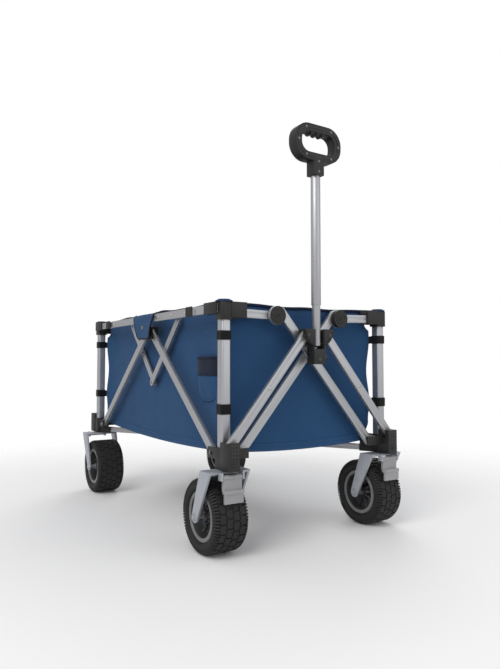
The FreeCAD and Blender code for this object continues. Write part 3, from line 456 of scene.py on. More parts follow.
def stitch_tree():
    """Short rounded stitches in a row along an edge path."""
    tree, given, out = new_tree("GeometryNodeTree", "Stitch row", [
        ("Geometry", "Geometry"), ("Length", "Float", 0.004),
        ("Spacing", "Float", 0.006), ("Thickness", "Float", 0.0005),
        ("Material", "Material")], SHAPE)
    path = add_node(tree, "GeometryNodeMeshToCurve", Mesh=given["Geometry"]).outputs[0]
    spread = add_node(tree, "GeometryNodeCurveToPoints", {"mode": "LENGTH"}, Curve=path, Length=given["Spacing"])
    along = spread.outputs["Tangent"]
    turn = add_node(tree, "FunctionNodeAlignRotationToVector", {"axis": "X"}, Vector=along).outputs[0]
    half = math_node(tree, "DIVIDE", given["Length"], 2.0)
    bead = add_node(tree, "GeometryNodeMeshIcoSphere", Radius=1.0, Subdivisions=1).outputs[0]
    shape = add_node(tree, "ShaderNodeCombineXYZ", X=half, Y=given["Thickness"], Z=given["Thickness"]).outputs[0]
    stitch = add_node(tree, "GeometryNodeTransform", Geometry=bead, Scale=shape).outputs[0]
    rows = add_node(tree, "GeometryNodeInstanceOnPoints", Points=spread.outputs[0], Instance=stitch,
                    Rotation=turn).outputs[0]
    end_tree(tree, rows, given["Material"], out)
    return tree


def around_tree():
    """Copies of a template turned in even steps about the Y axis through a centre."""
    tree, given, out = new_tree("GeometryNodeTree", "Copies round an axle", [
        ("Geometry", "Geometry"), ("Count", "Int", 6), ("Centre", "Vector", (0, 0, 0)),
        ("Material", "Material")], SHAPE)
    spots = add_node(tree, "GeometryNodePoints", Count=given["Count"], Position=given["Centre"]).outputs[0]
    order = tree.nodes.new("GeometryNodeInputIndex").outputs[0]
    step = math_node(tree, "DIVIDE", 2 * math.pi, given["Count"])
    angle = math_node(tree, "MULTIPLY", order, step)
    turn = add_node(tree, "FunctionNodeAxisAngleToRotation", Axis=(0.0, 1.0, 0.0), Angle=angle).outputs[0]
    ring = add_node(tree, "GeometryNodeInstanceOnPoints", Points=spots, Instance=given["Geometry"],
                    Rotation=turn).outputs[0]
    end_tree(tree, ring, given["Material"], out)
    return tree


TREES = {}


def grown(piece, tree_name, **inputs):
    """Runs a tree on a piece and keeps the result as its plain mesh."""
    tree = TREES[tree_name]
    modifier = piece.modifiers.new(tree_name, "NODES")
    modifier.node_group = tree
    for item in tree.interface.items_tree:
        key = item.name.lower()
        if item.in_out == "INPUT" and key in inputs:
            modifier[item.identifier] = inputs[key]
    return applied(piece)


def rivets(name, body, spots, radius, height, material_name):
    """Rivet heads at (point, facing) pairs, as one piece on a body."""
    piece = new_piece(name, [point for point, _ in spots], [])
    facing = piece.data.attributes.new("facing", "FLOAT_VECTOR", "POINT")
    for k, (_, direction) in enumerate(spots):
        facing.data[k].vector = direction
    grown(piece, "rivets", radius=radius, height=height, material=MATERIALS[material_name])
    return ride_on(piece, body)


def stitches(name, path, spacing=1.5, thickness=0.00045):
    """A row of stitches along a path, not yet riding on anything."""
    look = cloth()
    piece = new_piece(name, path, [])
    with edited(piece) as mesh:
        mesh.verts.ensure_lookup_table()
        for k in range(len(path) - 1):
            mesh.edges.new((mesh.verts[k], mesh.verts[k + 1]))
    return grown(piece, "stitches", length=look.stitch, spacing=look.stitch * spacing, thickness=thickness,
                 material=MATERIALS["thread"])


# ------------------------------------------------------------------ the aluminium frame

OUTER_BAR_PINS = {"r": ("fold", "front_hub_level"), "l": ("post_fl_level", "outer_bar_l_turn")}
RAIL_RIVETS = (0.041, 0.123, 0.205)
DISC_Y, DISC_Z = 0.103, 0.571
PEDAL_RIDGE_Z = 0.1625


class WAGON_OT_frame(bpy.types.Operator):
    """Finish the aluminium posts, bars, rails and tubes"""
    bl_idname = "wagon.frame"
    bl_label = "Frame"

    def execute(self, context):
        for node in frame["nodes"]:
            if slot_of(node) == "aluminium":
                softened(node, 0.0008, "aluminium")
        spots = {}
        for corner, (ahead, left) in CORNERS.items():
            rail = "top_rail_" + corner
            hinge_x = joint_point("rail_%s_turn" % corner).x
            spots[rail] = [(Vector((hinge_x - ahead * step, face_of(rail, 1, left), RAIL_Z)), Vector((0, left, 0)))
                           for step in RAIL_RIVETS]
        for corner, (ahead, left) in CORNERS.items():
            point = joint_point("long_f%s_turn" % corner[1])
            spot = Vector((point.x * ahead, left * (POST.y + 0.0105), point.z))
            spots["post_" + corner] = [(spot, Vector((0, left, 0)))]
        for body, found in spots.items():
            rivets("rivets_" + body, body, found, metal().rivet, 0.0022, "steel")
        for side, pins in OUTER_BAR_PINS.items():
            bar = "outer_bar_" + side
            foot, hub = (joint_point(pin) for pin in pins)
            spot = foot + (hub - foot) * 0.5 + Vector((face_of(bar, 0, 1) - foot.x, 0, 0))
            rivets("rivets_" + bar, bar, [(spot, Vector((1, 0, 0)))], metal().rivet, 0.002, "steel")
        return {"FINISHED"}


class WAGON_OT_brackets(bpy.types.Operator):
    """Finish the black brackets, blocks and hubs, with their bolts and clips"""
    bl_idname = "wagon.brackets"
    bl_label = "Brackets and hubs"

    def execute(self, context):
        soft = metal().rounding
        for node in frame["nodes"]:
            if slot_of(node) == "black_plastic" and node != "grip":
                softened(node, soft, "black_plastic")
        for corner, (ahead, left) in CORNERS.items():
            self.cap(corner, ahead, left)
            self.clip(corner, ahead, left)
            self.block_details(corner, ahead, left)
        for side, left in SIDES.items():
            self.side_hub(side, left)
        self.front_hub()
        for end, ahead in (("front", 1), ("rear", -1)):
            for bar in "ab":
                self.disc("cross_bar_%s_%s" % (end, bar), ahead)
        return {"FINISHED"}

    def cap(self, corner, ahead, left):
        """The domed cap of a post with its raised ring."""
        centre = Vector((POST.x * ahead, POST.y * left, face_of("top_bracket_" + corner, 2, 1)))
        steps = ((0.0, 0.0006), (0.0062, 0.0004), (0.0068, -0.0006), (0.0078, -0.0006), (0.0084, 0.0002),
                 (0.0125, -0.0008), (0.0146, -0.0026), (0.0152, -0.0052))
        turned("cap_" + corner, centre, steps, "Z", "black_plastic", "post_" + corner)

    def clip(self, corner, ahead, left):
        """The black two-ridged clip over a rail's hinge."""
        body = "post_" + corner
        point = joint_point("rail_%s_turn" % corner)
        outer = face_of(body, 1, left)
        outline = ((-0.0185, 0.0), (-0.0175, 0.0022), (-0.0125, 0.0026), (-0.0105, 0.0012), (-0.0035, 0.0012),
                   (-0.0015, 0.0028), (0.0045, 0.0028), (0.0065, 0.0012), (0.0125, 0.0012), (0.0145, 0.0026),
                   (0.0175, 0.0022), (0.0185, 0.0))
        half, bevel, narrowed = 0.0128, 0.0015, 0.9
        points = []
        for z, shrink in ((-half, narrowed), (-half + bevel, 1.0), (half - bevel, 1.0), (half, narrowed)):
            for across, out in outline:
                points.append(Vector((point.x - 0.001 * ahead + across * shrink,
                                      outer + left * (out * shrink + 0.0001), point.z + z)))
        n = len(outline)
        faces = grid_faces(4, n) + [tuple(range(n))[::-1], tuple(range(3 * n, 4 * n))]
        faces += [(0, n, 2 * n, 3 * n), (n - 1, 2 * n - 1, 3 * n - 1, 4 * n - 1)[::-1]]
        piece = outward(new_piece("rail_clip_" + corner, points, faces, "black_plastic"))
        smooth(piece, math.radians(30))
        ride_on(piece, body)

    def block_details(self, corner, ahead, left):
        """Bolt heads and the rows of small relief holes of a lower block."""
        body = "post_" + corner
        front = face_of("lower_block_" + corner, 0, ahead)
        y0 = POST.y * left
        if ahead > 0:
            top, pitch = 0.262, 0.0085
            found = [(Vector((front + 0.0002, y0 + left * (-0.0075 + 0.0075 * column), top - pitch * row)),
                      Vector((1, 0, 0))) for row in range(4) for column in range(3)]
            rivets("relief_" + corner, body, found, 0.0021, 0.0009, "rim_plastic")
        bolts = [(Vector((front + 0.0003 * ahead, y0 + left * 0.0035, 0.2175)), Vector((ahead, 0, 0))),
                 (Vector((POST.x * ahead - 0.044 * ahead, y0 + left * 0.0107, 0.236)), Vector((0, left, 0)))]
        rivets("bolts_" + corner, body, bolts, 0.0048, 0.0022, "black_plastic")

    def side_hub(self, side, left):
        body = "side_hub_" + side
        height = joint_point("side_hub_%s_level" % side).z
        found = [(Vector((x, face_of(body, 1, left), height)), Vector((0, left, 0))) for x in (-0.020, 0.020)]
        rivets("hub_bolts_" + side, body, found, 0.0052, 0.0028, "steel")

    def front_hub(self):
        low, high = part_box("front_hub")
        pin = joint_point("front_hub_level")
        found = [(Vector((high.x, y, pin.z)), Vector((1, 0, 0))) for y in (pin.y, -pin.y)]
        found.append((Vector((high.x, 0.0, low.z + 0.012)), Vector((1, 0, 0))))
        rivets("hub_bolts_front", "front_hub", found, 0.0050, 0.0016, "rim_plastic")
        centre = Vector((high.x + 0.0002, 0, pin.z + 0.016))
        for side, left in SIDES.items():
            ring = []
            for k in range(15):
                angle = math.pi * (0.05 + 0.31 * k / 14)
                ring.append(centre + Vector((0, left * math.cos(angle), -math.sin(angle))) * 0.0425)
            ride_on(tube_along("hub_ridge_" + side, ring, 0.0011, "black_plastic"), "front_hub")
        # ribbed head of the release knob
        knob_z = pin.z - 0.053
        centre = Vector((joint_point("fold").x, 0.0325, knob_z))
        steps = ((0.0, 0.0014), (0.0042, 0.0014), (0.0052, 0.0004), (0.0068, 0.0), (0.0076, -0.0016),
                 (0.0076, -0.0085), (0.0068, -0.0095))
        turned("knob_head", centre, steps, "Y", "rim_plastic", "front_hub")

    def disc(self, bar, ahead):
        """The ringed cover of a crossed bar's pivot disc, with its socket bolt."""
        left, deep = (1, 0.0125) if bar.endswith("_a") else (-1, 0.0008)
        centre = Vector((face_of(bar, 0, ahead) + ahead * (deep - 0.0002), left * DISC_Y, DISC_Z))
        steps = ((0.0, 0.0004), (0.0030, 0.0004), (0.0034, 0.0022), (0.0066, 0.0022), (0.0072, 0.0006),
                 (0.0128, 0.0006), (0.0134, 0.0014), (0.0158, 0.0014), (0.0164, 0.0004), (0.0215, 0.0004),
                 (0.0228, 0.0012), (0.0236, 0.0006), (0.0239, -deep))
        turned("disc_cover_" + bar, centre, steps, "X" if ahead > 0 else "-X", "black_plastic", bar)


AXES = {"X": (Vector((1, 0, 0)), Vector((0, 1, 0))), "-X": (Vector((-1, 0, 0)), Vector((0, 1, 0))),
        "Y": (Vector((0, 1, 0)), Vector((1, 0, 0))), "-Y": (Vector((0, -1, 0)), Vector((1, 0, 0))),
        "Z": (Vector((0, 0, 1)), Vector((1, 0, 0)))}


def turned(name, centre, steps, axis, material_name, body, sides=40, closed=True):
    """A turned shape: steps are (radius, height along the axis) from the middle outwards."""
    up, across = AXES[axis]
    around = up.cross(across)
    points = []
    rings = [step for step in steps if step[0] > 0]
    for radius, height in rings:
        for turn in range(sides):
            angle = 2 * math.pi * turn / sides
            out = across * math.cos(angle) + around * math.sin(angle)
            points.append(centre + up * height + out * radius)
    faces = grid_faces(len(rings), sides, wrap=True)
    if steps[0][0] == 0:
        points.append(centre + up * steps[0][1])
        last = len(points) - 1
        faces += [(last, turn, (turn + 1) % sides) for turn in range(sides)]
    if closed:
        foot = (len(rings) - 1) * sides
        faces.append(tuple(range(foot, foot + sides)))
    piece = outward(new_piece(name, points, faces, material_name))
    smooth(piece, math.radians(28))
    return ride_on(piece, body)


# ------------------------------------------------------------------ wheels

class WAGON_OT_wheels(bpy.types.Operator):
    """Build the treaded tyres and spoked rims"""
    bl_idname = "wagon.wheels"
    bl_label = "Wheels"

    def execute(self, context):
        for corner in CORNERS:
            centre = joint_point("wheel_%s_spin" % corner)
            self.tyre(corner, centre)
            self.rim(corner, centre)
        return {"FINISHED"}

    def tyre(self, corner, centre):
        body = "wheel_" + corner
        low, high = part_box("tyre_" + corner)
        radius, half = (high.z - low.z) / 2, (high.y - low.y) / 2
        floor = radius - 0.0026
        # carcass: profile from one bead to the other
        profile = [(0.0610, half - 0.0075), (0.0640, half - 0.0030), (0.0680, half - 0.0012), (0.0740, half - 0.0006),
                   (0.0775, half - 0.0018), (0.0800, half - 0.0042), (0.0830, half - 0.0085),
                   (floor - 0.0006, half - 0.0150), (floor, half - 0.0220), (floor + 0.0002, 0.0)]
        profile += [(r, -y) for r, y in profile[-2::-1]]
        angles = [2 * math.pi * turn / 96 for turn in range(96)]
        rings = [[centre + Vector((math.cos(angle) * r, y, math.sin(angle) * r)) for angle in angles]
                 for r, y in profile]
        carcass = smooth(lofted("tyre_wall_" + corner, rings, "tyre_rubber", loop=True), math.radians(42))
        ride_on(carcass, body)
        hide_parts("tyre_" + corner)
        # tread: four rows of staggered blocks and two rows of shoulder lugs, for one step of the pattern
        count = 24
        step = 2 * math.pi / count
        template = bmesh.new()
        for middle, wide, phase in ((-0.0262, 0.0150, 0.0), (-0.0086, 0.0150, 0.5), (0.0090, 0.0150, 0.18),
                                    (0.0264, 0.0146, 0.66)):
            self.block(template, radius, middle, wide, phase * step, 0.80 * step, 0.0030)
        for side in (-1, 1):
            for k in range(3):
                self.lug(template, radius, half, side, (k + 0.25 + (0.3 if side > 0 else 0)) * step / 3,
                         step / 3 * 0.56)
        piece = from_bmesh("tyre_tread_" + corner, template)
        grown(piece, "around", count=count, centre=centre, material=MATERIALS["tyre_rubber"])
        piece.data.shade_flat()
        ride_on(piece, body)

    def block(self, template, radius, middle, wide, start, span, depth):
        """A tread block with wavy sides and bevelled shoulders, curved with the tyre."""
        columns, grid = 6, []
        for rise, inset in ((-depth, 0.0), (-0.0006, 0.0), (0.0, 0.0007)):
            ring = []
            for k in range(columns + 1):
                share = k / columns
                angle = start + inset / radius + (span - 2 * inset / radius) * share
                wave = 0.0011 * math.sin(share * 2 * math.pi * 1.5)
                for edge in (-1, 1):
                    y = middle + edge * (wide / 2 - inset) + wave
                    r = radius + rise - 0.00002
                    ring.append(template.verts.new((math.cos(angle) * r, y, math.sin(angle) * r)))
            grid.append(ring)
        for lower, upper in zip(grid, grid[1:]):
            for k in range(columns):
                for edge in (0, 1):
                    a, b = 2 * k + edge, 2 * k + 2 + edge
                    template.faces.new((lower[a], lower[b], upper[b], upper[a]))
            for a in (0, 2 * columns):
                template.faces.new((lower[a], lower[a + 1], upper[a + 1], upper[a]))
        top = grid[-1]
        for k in range(columns):
            template.faces.new((top[2 * k], top[2 * k + 1], top[2 * k + 3], top[2 * k + 2]))
        base = grid[0]
        for k in range(columns):
            template.faces.new((base[2 * k], base[2 * k + 2], base[2 * k + 3], base[2 * k + 1]))
        bmesh.ops.recalc_face_normals(template, faces=template.faces)

    def lug(self, template, radius, half, side, start, span):
        """A shoulder lug that wraps from the tread down the side of the tyre."""
        section = ((radius - 0.0004, half - 0.0100), (radius - 0.0022, half - 0.0052),
                   (radius - 0.0062, half - 0.0014), (radius - 0.0120, half - 0.0002),
                   (radius - 0.0125, half - 0.0030), (radius - 0.0100, half - 0.0055),
                   (radius - 0.0060, half - 0.0085), (radius - 0.0050, half - 0.0100))
        rows = [[template.verts.new((math.cos(turn) * r, side * y, math.sin(turn) * r)) for r, y in section]
                for turn in (start, start + span)]
        n = len(rows[0])
        for k in range(n):
            after = (k + 1) % n
            template.faces.new((rows[0][k], rows[0][after], rows[1][after], rows[1][k]))
        for row in rows:
            for k in range(3):
                template.faces.new((row[k], row[k + 1], row[n - 2 - k], row[n - 1 - k]))
        bmesh.ops.recalc_face_normals(template, faces=template.faces)

    def rim(self, corner, centre):
        body = "wheel_" + corner
        # recessed face with its hub and well, then the lip ring
        face = ((0.0, 0.0300), (0.0095, 0.0296), (0.0118, 0.0282), (0.0125, 0.0262), (0.0150, 0.0215),
                (0.0178, 0.0120), (0.0400, 0.0105), (0.0455, 0.0130), (0.0478, 0.0210), (0.0486, 0.0335),
                (0.0500, 0.0372))
        lip = ((0.0500, 0.0372), (0.0512, 0.0392), (0.0540, 0.0398), (0.0572, 0.0396), (0.0596, 0.0384),
               (0.0612, 0.0360), (0.0616, 0.0300))
        for label, side in (("out", 1), ("in", -1)):
            axis = "Y" if side > 0 else "-Y"
            dish = turned("rim_dish_%s_%s" % (label, corner), centre, face, axis, "rim_plastic", body,
                          sides=64, closed=False)
            turned("rim_lip_%s_%s" % (label, corner), centre, lip, axis, "rim_ring", body,
                   sides=72, closed=False)
            self.spokes("rim_spokes_%s_%s" % (label, corner), body, centre, side)
            if side > 0:
                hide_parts("rim_" + corner)

    def spokes(self, name, body, centre, side):
        """Nine ribs; the sections of one are (distance from the axle, height, half width)."""
        template = bmesh.new()
        rows = []
        for r, y, wide in ((0.0150, 0.0245, 0.0042), (0.0220, 0.0180, 0.0034), (0.0340, 0.0150, 0.0030),
                           (0.0440, 0.0170, 0.0036), (0.0485, 0.0225, 0.0046)):
            rows.append([template.verts.new((r, side * (y - down), wide * across)) for down, across in
                         ((0.010, -1), (0.0008, -1), (0, -0.6), (0, 0.6), (0.0008, 1), (0.010, 1))])
        for before, after in zip(rows, rows[1:]):
            for k in range(5):
                template.faces.new((before[k], before[k + 1], after[k + 1], after[k]))
        bmesh.ops.recalc_face_normals(template, faces=template.faces)
        ribs = from_bmesh(name, template)
        grown(ribs, "around", count=9, centre=centre, material=MATERIALS["rim_plastic"])
        ride_on(ribs, body)


# ------------------------------------------------------------------ forks and pedals

class WAGON_OT_forks(bpy.types.Operator):
    """Finish the wheel forks, axle nuts and brake pedals"""
    bl_idname = "wagon.forks"
    bl_label = "Forks and pedals"

    def execute(self, context):
        nut = ((0.0, 0.0034), (0.0030, 0.0034), (0.0034, 0.0026), (0.0048, 0.0024), (0.0078, 0.0018), (0.0084, 0.0004),
               (0.0084, -0.0030))
        washer = ((0.0084, -0.0014), (0.0108, -0.0016), (0.0112, -0.0030))
        for corner in CORNERS:
            node = "fork_" + corner
            softened(node, 0.0011, "fork_paint")
            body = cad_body(node)
            axle = joint_point("wheel_%s_spin" % corner)
            for label, side in (("near", -1), ("far", 1)):
                name, axis = "_%s_%s" % (label, corner), "Y" if side > 0 else "-Y"
                centre = Vector((axle.x, face_of(node, 1, side), axle.z))
                smooth(turned("axle_nut" + name, centre - Vector((0, side * 0.0030, 0)), nut, axis, "steel", body,
                              sides=6), math.radians(20))
                turned("axle_washer" + name, centre, washer, axis, "fork_paint", body, sides=32)
        for corner in ("fr", "fl"):
            body = "brake_pedal_" + corner
            softened(body, 0.0016, "pedal_plastic")
            low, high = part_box(body)
            middle = (low.y + high.y) / 2
            ribs = [(Vector((high.x - 0.0062, middle + k * 0.008, PEDAL_RIDGE_Z)), Vector((0, 0, 1)))
                    for k in range(-2, 3)]
            rivets("pedal_grips_" + corner, body, ribs, 0.0024, 0.0010, "pedal_plastic")
        return {"FINISHED"}


# ------------------------------------------------------------------ handle grip

GRIP_LINE = (0.0640, 0.0370)        # half the width and height of the groove round the ring
SOCKET_HALF = 0.016
SOCKET_SCREWS = (0.944, 0.970)


class WAGON_OT_grip(bpy.types.Operator):
    """Finish the ring grip with its groove and screws"""
    bl_idname = "wagon.grip"
    bl_label = "Handle grip"

    def execute(self, context):
        softened("grip", 0.0030, "black_plastic", math.radians(40))
        low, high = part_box("grip")
        centre_z = high.z - 0.047
        wide, tall = GRIP_LINE
        for label, side, face in (("front", 1, high.x), ("back", -1, low.x)):
            path = []
            for k in range(72):
                angle = 2 * math.pi * k / 72
                c, s = math.cos(angle), math.sin(angle)
                reach = (abs(c) ** 3 + abs(s) ** 3) ** (-1 / 3)
                path.append(Vector((face - side * 0.0004, c * reach * wide, centre_z + s * reach * tall)))
            groove = tube_along("grip_line_" + label, path, 0.0010, "rim_plastic", closed=True, sides=6)
            ride_on(groove, "handle_upper")
            screws = [(Vector((face, y, centre_z + z)), Vector((side, 0, 0)))
                      for y, z in ((-0.040, 0.0355), (0.040, 0.0355), (-wide, 0), (wide, 0), (-0.040, -0.0355),
                                   (0.040, -0.0355))]
            socket_x = joint_point("handle_tilt").x + side * SOCKET_HALF
            screws += [(Vector((socket_x, 0, z)), Vector((side, 0, 0))) for z in SOCKET_SCREWS]
            rivets("grip_screws_" + label, "handle_upper", screws, 0.0034, 0.0012, "rim_ring")
        return {"FINISHED"}


# ------------------------------------------------------------------ the cloth tub

HALF_LONG = TUB_HIGH.x - 0.0018
HALF_WIDE = TUB_HIGH.y - 0.0022
BEND = 0.008                        # radius of the tub's corners
RUNS = {"right": HALF_LONG - BEND, "left": HALF_LONG - BEND, "front": HALF_WIDE - BEND, "rear": HALF_WIDE - BEND}
HOLD_FROM, HOLD_TO = 0.256, 0.5545  # the straps hold the cloth between the lower blocks and the brackets
HEM_Z, RIM_Z = TUB_LOW.z - 0.006, TUB_HIGH.z - 0.001
WALL_TALL = 0.357


def strap_pull(z):
    """How far the tub's corners are pulled in at a height: nothing at the straps, most between them."""
    look = cloth()
    bands = ((TUB_LOW.z, look.strap_low, 0.55), (look.strap_low, look.strap_high, 1.0),
             (look.strap_high, TUB_HIGH.z, 0.1))
    for low, high, share in bands:
        if low <= z <= high:
            return share * math.sin(math.pi * (z - low) / (high - low)) ** 2
    return 0.0


def ripple(along, z, seed):
    """Soft creases of the cloth, the same each time."""
    slow = math.sin(along * 9.0 + seed) * math.cos(z * 13.0 + seed * 2.1)
    drag = math.sin((along * 0.8 + z) * 31.0 + seed * 1.7) * math.sin(along * 17.0 + seed)
    fine = math.sin((along - z * 0.6) * 63.0 + seed * 3.3) * math.sin(z * 41.0 + along * 5.0)
    return 0.0014 * slow + 0.0009 * drag + 0.0004 * fine


def wall_spot(wall, along, z, height_share):
    """A point of the tub's outer face: along runs over a wall's straight part, or 0 to 1 over a corner."""
    if wall in ("right", "left"):
        left = -1 if wall == "right" else 1
        spot, out = Vector((along, left * HALF_WIDE, z)), Vector((0, left, 0))
        corner = Vector((math.copysign(1, along), left, 0))
    elif wall in ("front", "rear"):
        ahead = 1 if wall == "front" else -1
        spot, out = Vector((ahead * HALF_LONG, along, z)), Vector((ahead, 0, 0))
        corner = Vector((ahead, math.copysign(1, along), 0))
    else:
        ahead, left = CORNERS[wall]
        angle = math.pi / 2 * along
        out = Vector((ahead * math.cos(angle), left * math.sin(angle), 0))
        spot = Vector((ahead * RUNS["right"], left * RUNS["front"], z)) + out * BEND
        corner = Vector((ahead, left, 0))
    nearest = 0.0 if wall in CORNERS else RUNS[wall] - abs(along)
    near = math.exp(-(nearest / 0.055) ** 2)
    pull = cloth().edge_pull * strap_pull(z) * near
    rise = min(1.0, max(0.0, (z - HOLD_FROM) / 0.03), max(0.0, (HOLD_TO - z) / 0.010))
    hold = cloth().edge_hold * rise * rise * (3 - 2 * rise) * near
    spot += Vector((corner.x * (hold - pull), corner.y * (hold * 1.85 - pull * 0.7), 0))
    if wall in RUNS:
        calm = min(1.0, nearest / 0.04) * min(1.0, height_share * 6) * min(1.0, (1 - height_share) * 7 + 0.15)
        seed = {"right": 0.4, "left": 2.2, "front": 3.7, "rear": 5.1}[wall]
        spot -= out * (0.0016 + ripple(along, z, seed)) * calm
    return spot, out


def top_edge(wall, along):
    if wall in CORNERS:
        return RIM_Z
    share = 1 - (along / RUNS[wall]) ** 2
    if wall in ("right", "left"):
        wave = 0.0022 * math.sin(along * 21.0 + 0.6) + 0.0014 * math.sin(along * 43.0)
        return RIM_Z + (0.004 + wave) * share
    return RIM_Z + (0.0015 * math.sin(along * 37.0 + 1.0) - 0.004) * share


def low_edge(wall, along):
    if wall in CORNERS:
        return HEM_Z
    return HEM_Z - (0.013 if wall in ("right", "left") else 0.009) * (1 - (along / RUNS[wall]) ** 2)


def wall_sheet(wall, columns, rows):
    """The grid of one wall, with its UV map in metres."""
    if wall in CORNERS:
        spread = [k / (columns - 1) for k in range(columns)]
    else:
        spread = [RUNS[wall] * (2 * k / (columns - 1) - 1) for k in range(columns)]
    points, uvs = [], []
    for row in range(rows):
        share = row / (rows - 1)
        for along in spread:
            low, high = low_edge(wall, along), top_edge(wall, along)
            z = low + (high - low) * share
            spot, _ = wall_spot(wall, along, z, share)
            points.append(spot)
            uvs.append((along * (BEND * math.pi / 2 if wall in CORNERS else 1.0), z))
    return points, uvs, spread


def uv_from(piece, uvs):
    layer = piece.data.uv_layers.new(name="cloth")
    for loop in piece.data.loops:
        layer.data[loop.index].uv = uvs[loop.vertex_index]


def box_uv(piece):
    """A UV map in metres on a piece of cloth, from the side that each face shows."""
    layer = piece.data.uv_layers.new(name="cloth")
    for face in piece.data.polygons:
        flat = max(range(3), key=lambda k: abs(face.normal[k]))
        first, second = [k for k in range(3) if k != flat]
        for loop in face.loop_indices:
            spot = piece.data.vertices[piece.data.loops[loop].vertex_index].co
            layer.data[loop].uv = (spot[first], spot[second])


def thickened(piece, thickness, lining=True):
    """Gives a sheet its thickness, inwards, and its lining."""
    with_modifier(piece, "SOLIDIFY", thickness=thickness, offset=-1.0, material_offset=1 if lining else 0,
                  material_offset_rim=1 if lining else 0)
    return applied(piece)


def facing(piece, inside):
    """Turns a sheet's faces away from a point inside the tub."""
    with edited(piece) as mesh:
        if sum(face.normal.dot(face.calc_center_median() - inside) for face in mesh.faces) < 0:
            bmesh.ops.reverse_faces(mesh, faces=mesh.faces)
    return piece


def sewn(name, points, columns, covers, inside, thickness, soft, uvs=None, lining=True):
    """A sheet of cloth on a grid of points, with its UV map in metres and its outside away from a point."""
    piece = new_piece(name, points, grid_faces(len(points) // columns, columns), *covers)
    facing(piece, inside)
    if uvs:
        uv_from(piece, uvs)
    else:
        box_uv(piece)
    return smooth(thickened(piece, thickness, lining), math.radians(soft))


TUB_MIDDLE = Vector((0, 0, 0.42))


def flatten(piece, wall):
    """Gives a wall its own copy of its mesh."""
    if wall in ("right", "left"):
        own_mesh(piece)
    elif wall in ("front", "rear"):
        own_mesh(piece)
    return piece


WALL_BODY = {"right": "post_fr", "left": "post_fl", "front": "post_fr", "rear": "post_rr",
             "fr": "post_fr", "fl": "post_fl", "rr": "post_rr", "rl": "post_rl"}


def lie_on(wall, piece):
    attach(piece, WALL_BODY[wall])
    return flatten(piece, wall)


def round_the_foot(points, columns):
    """The edge of a grid of points down one side, along its foot and up the other side."""
    return points[::columns][::-1] + points[1:columns - 1] + points[columns - 1::columns]


class WAGON_OT_tub(bpy.types.Operator):
    """Sew the tub: walls, corners, floor, bindings and hems"""
    bl_idname = "wagon.tub"
    bl_label = "Cloth tub"

    def execute(self, context):
        look = cloth()
        for wall in ("right", "left", "front", "rear", "fr", "fl", "rr", "rl"):
            long_wall, corner = wall in ("right", "left"), wall in CORNERS
            columns = 9 if corner else (121 if long_wall else 65)
            points, uvs, spread = wall_sheet(wall, columns, 53)
            name = "tub_%s_%s" % ("corner" if corner else "wall", wall)
            piece = sewn(name, points, columns, ("outer_cloth", "lining_cloth"), TUB_MIDDLE, look.thickness, 60, uvs)
            lie_on(wall, piece)
            trims = self.trims(wall, spread)
        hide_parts("tub")
        self.floor()
        return {"FINISHED"}

    def trims(self, wall, spread):
        """The rim's binding, the hem band and their stitches."""
        look = cloth()
        made = []
        rim = []
        for along in spread:
            spot, out = wall_spot(wall, along, top_edge(wall, along), 1.0)
            rim.append(spot - out * 0.0012 + Vector((0, 0, -0.001)))
        binding = tube_along("tub_rim_" + wall, rim, look.binding, "lining_cloth", sides=10)
        box_uv(binding)
        made.append(lie_on(wall, binding))
        points = []
        levels = ((0.0, 0.0004), (0.0008, 0.0014), (0.0195, 0.0014), (0.0205, 0.0003))
        for rise, out_by in levels:
            for along in spread:
                z = low_edge(wall, along) + rise
                spot, out = wall_spot(wall, along, z, rise / WALL_TALL)
                points.append(spot + out * out_by)
        hem = sewn("tub_hem_" + wall, points, len(spread), ("outer_cloth", "lining_cloth"), TUB_MIDDLE, 0.0014, 50)
        made.append(lie_on(wall, hem))
        rows = ((low_edge, 0.0045), (low_edge, 0.0165), (top_edge, -0.0125), (top_edge, -0.0155))
        for k, (edge, rise) in enumerate(rows):
            path = []
            for along in spread:
                z = edge(wall, along) + rise
                share = (z - low_edge(wall, along)) / (top_edge(wall, along) - low_edge(wall, along))
                spot, out = wall_spot(wall, along, z, share)
                path.append(spot + out * (0.0016 if edge is low_edge else 0.0003))
            row = stitches("tub_stitches_%s_%d" % (wall, k + 1), path)
            made.append(lie_on(wall, row))
        return made

    def floor(self):
        """Four quarters of the floor, each folding up with its own base bar."""
        for corner, (ahead, left) in CORNERS.items():
            points, uvs = [], []
            rows, columns = 27, 19
            for row in range(rows):
                for column in range(columns):
                    x = ahead * (HALF_LONG - 0.006) * row / (rows - 1)
                    y = left * (HALF_WIDE - 0.006) * column / (columns - 1)
                    if row > rows - 3 and column > columns - 3:
                        x, y = x * 0.985, y * 0.975
                    dip = 0.0009 * math.sin(x * 29.0) * math.sin(y * 37.0)
                    dip -= 0.0012 * math.exp(-((abs(x) - 0.21) / 0.006) ** 2)
                    points.append(Vector((x, y, TUB_LOW.z + 0.0026 + dip)))
                    uvs.append((x, y))
            under = Vector((ahead * 0.2, left * 0.1, 0.1))
            quarter = sewn("tub_floor_" + corner, points, columns, ("lining_cloth", "lining_cloth"), under, 0.0024, 50,
                           uvs)
            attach(quarter, "base_bar_" + corner)
            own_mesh(quarter)


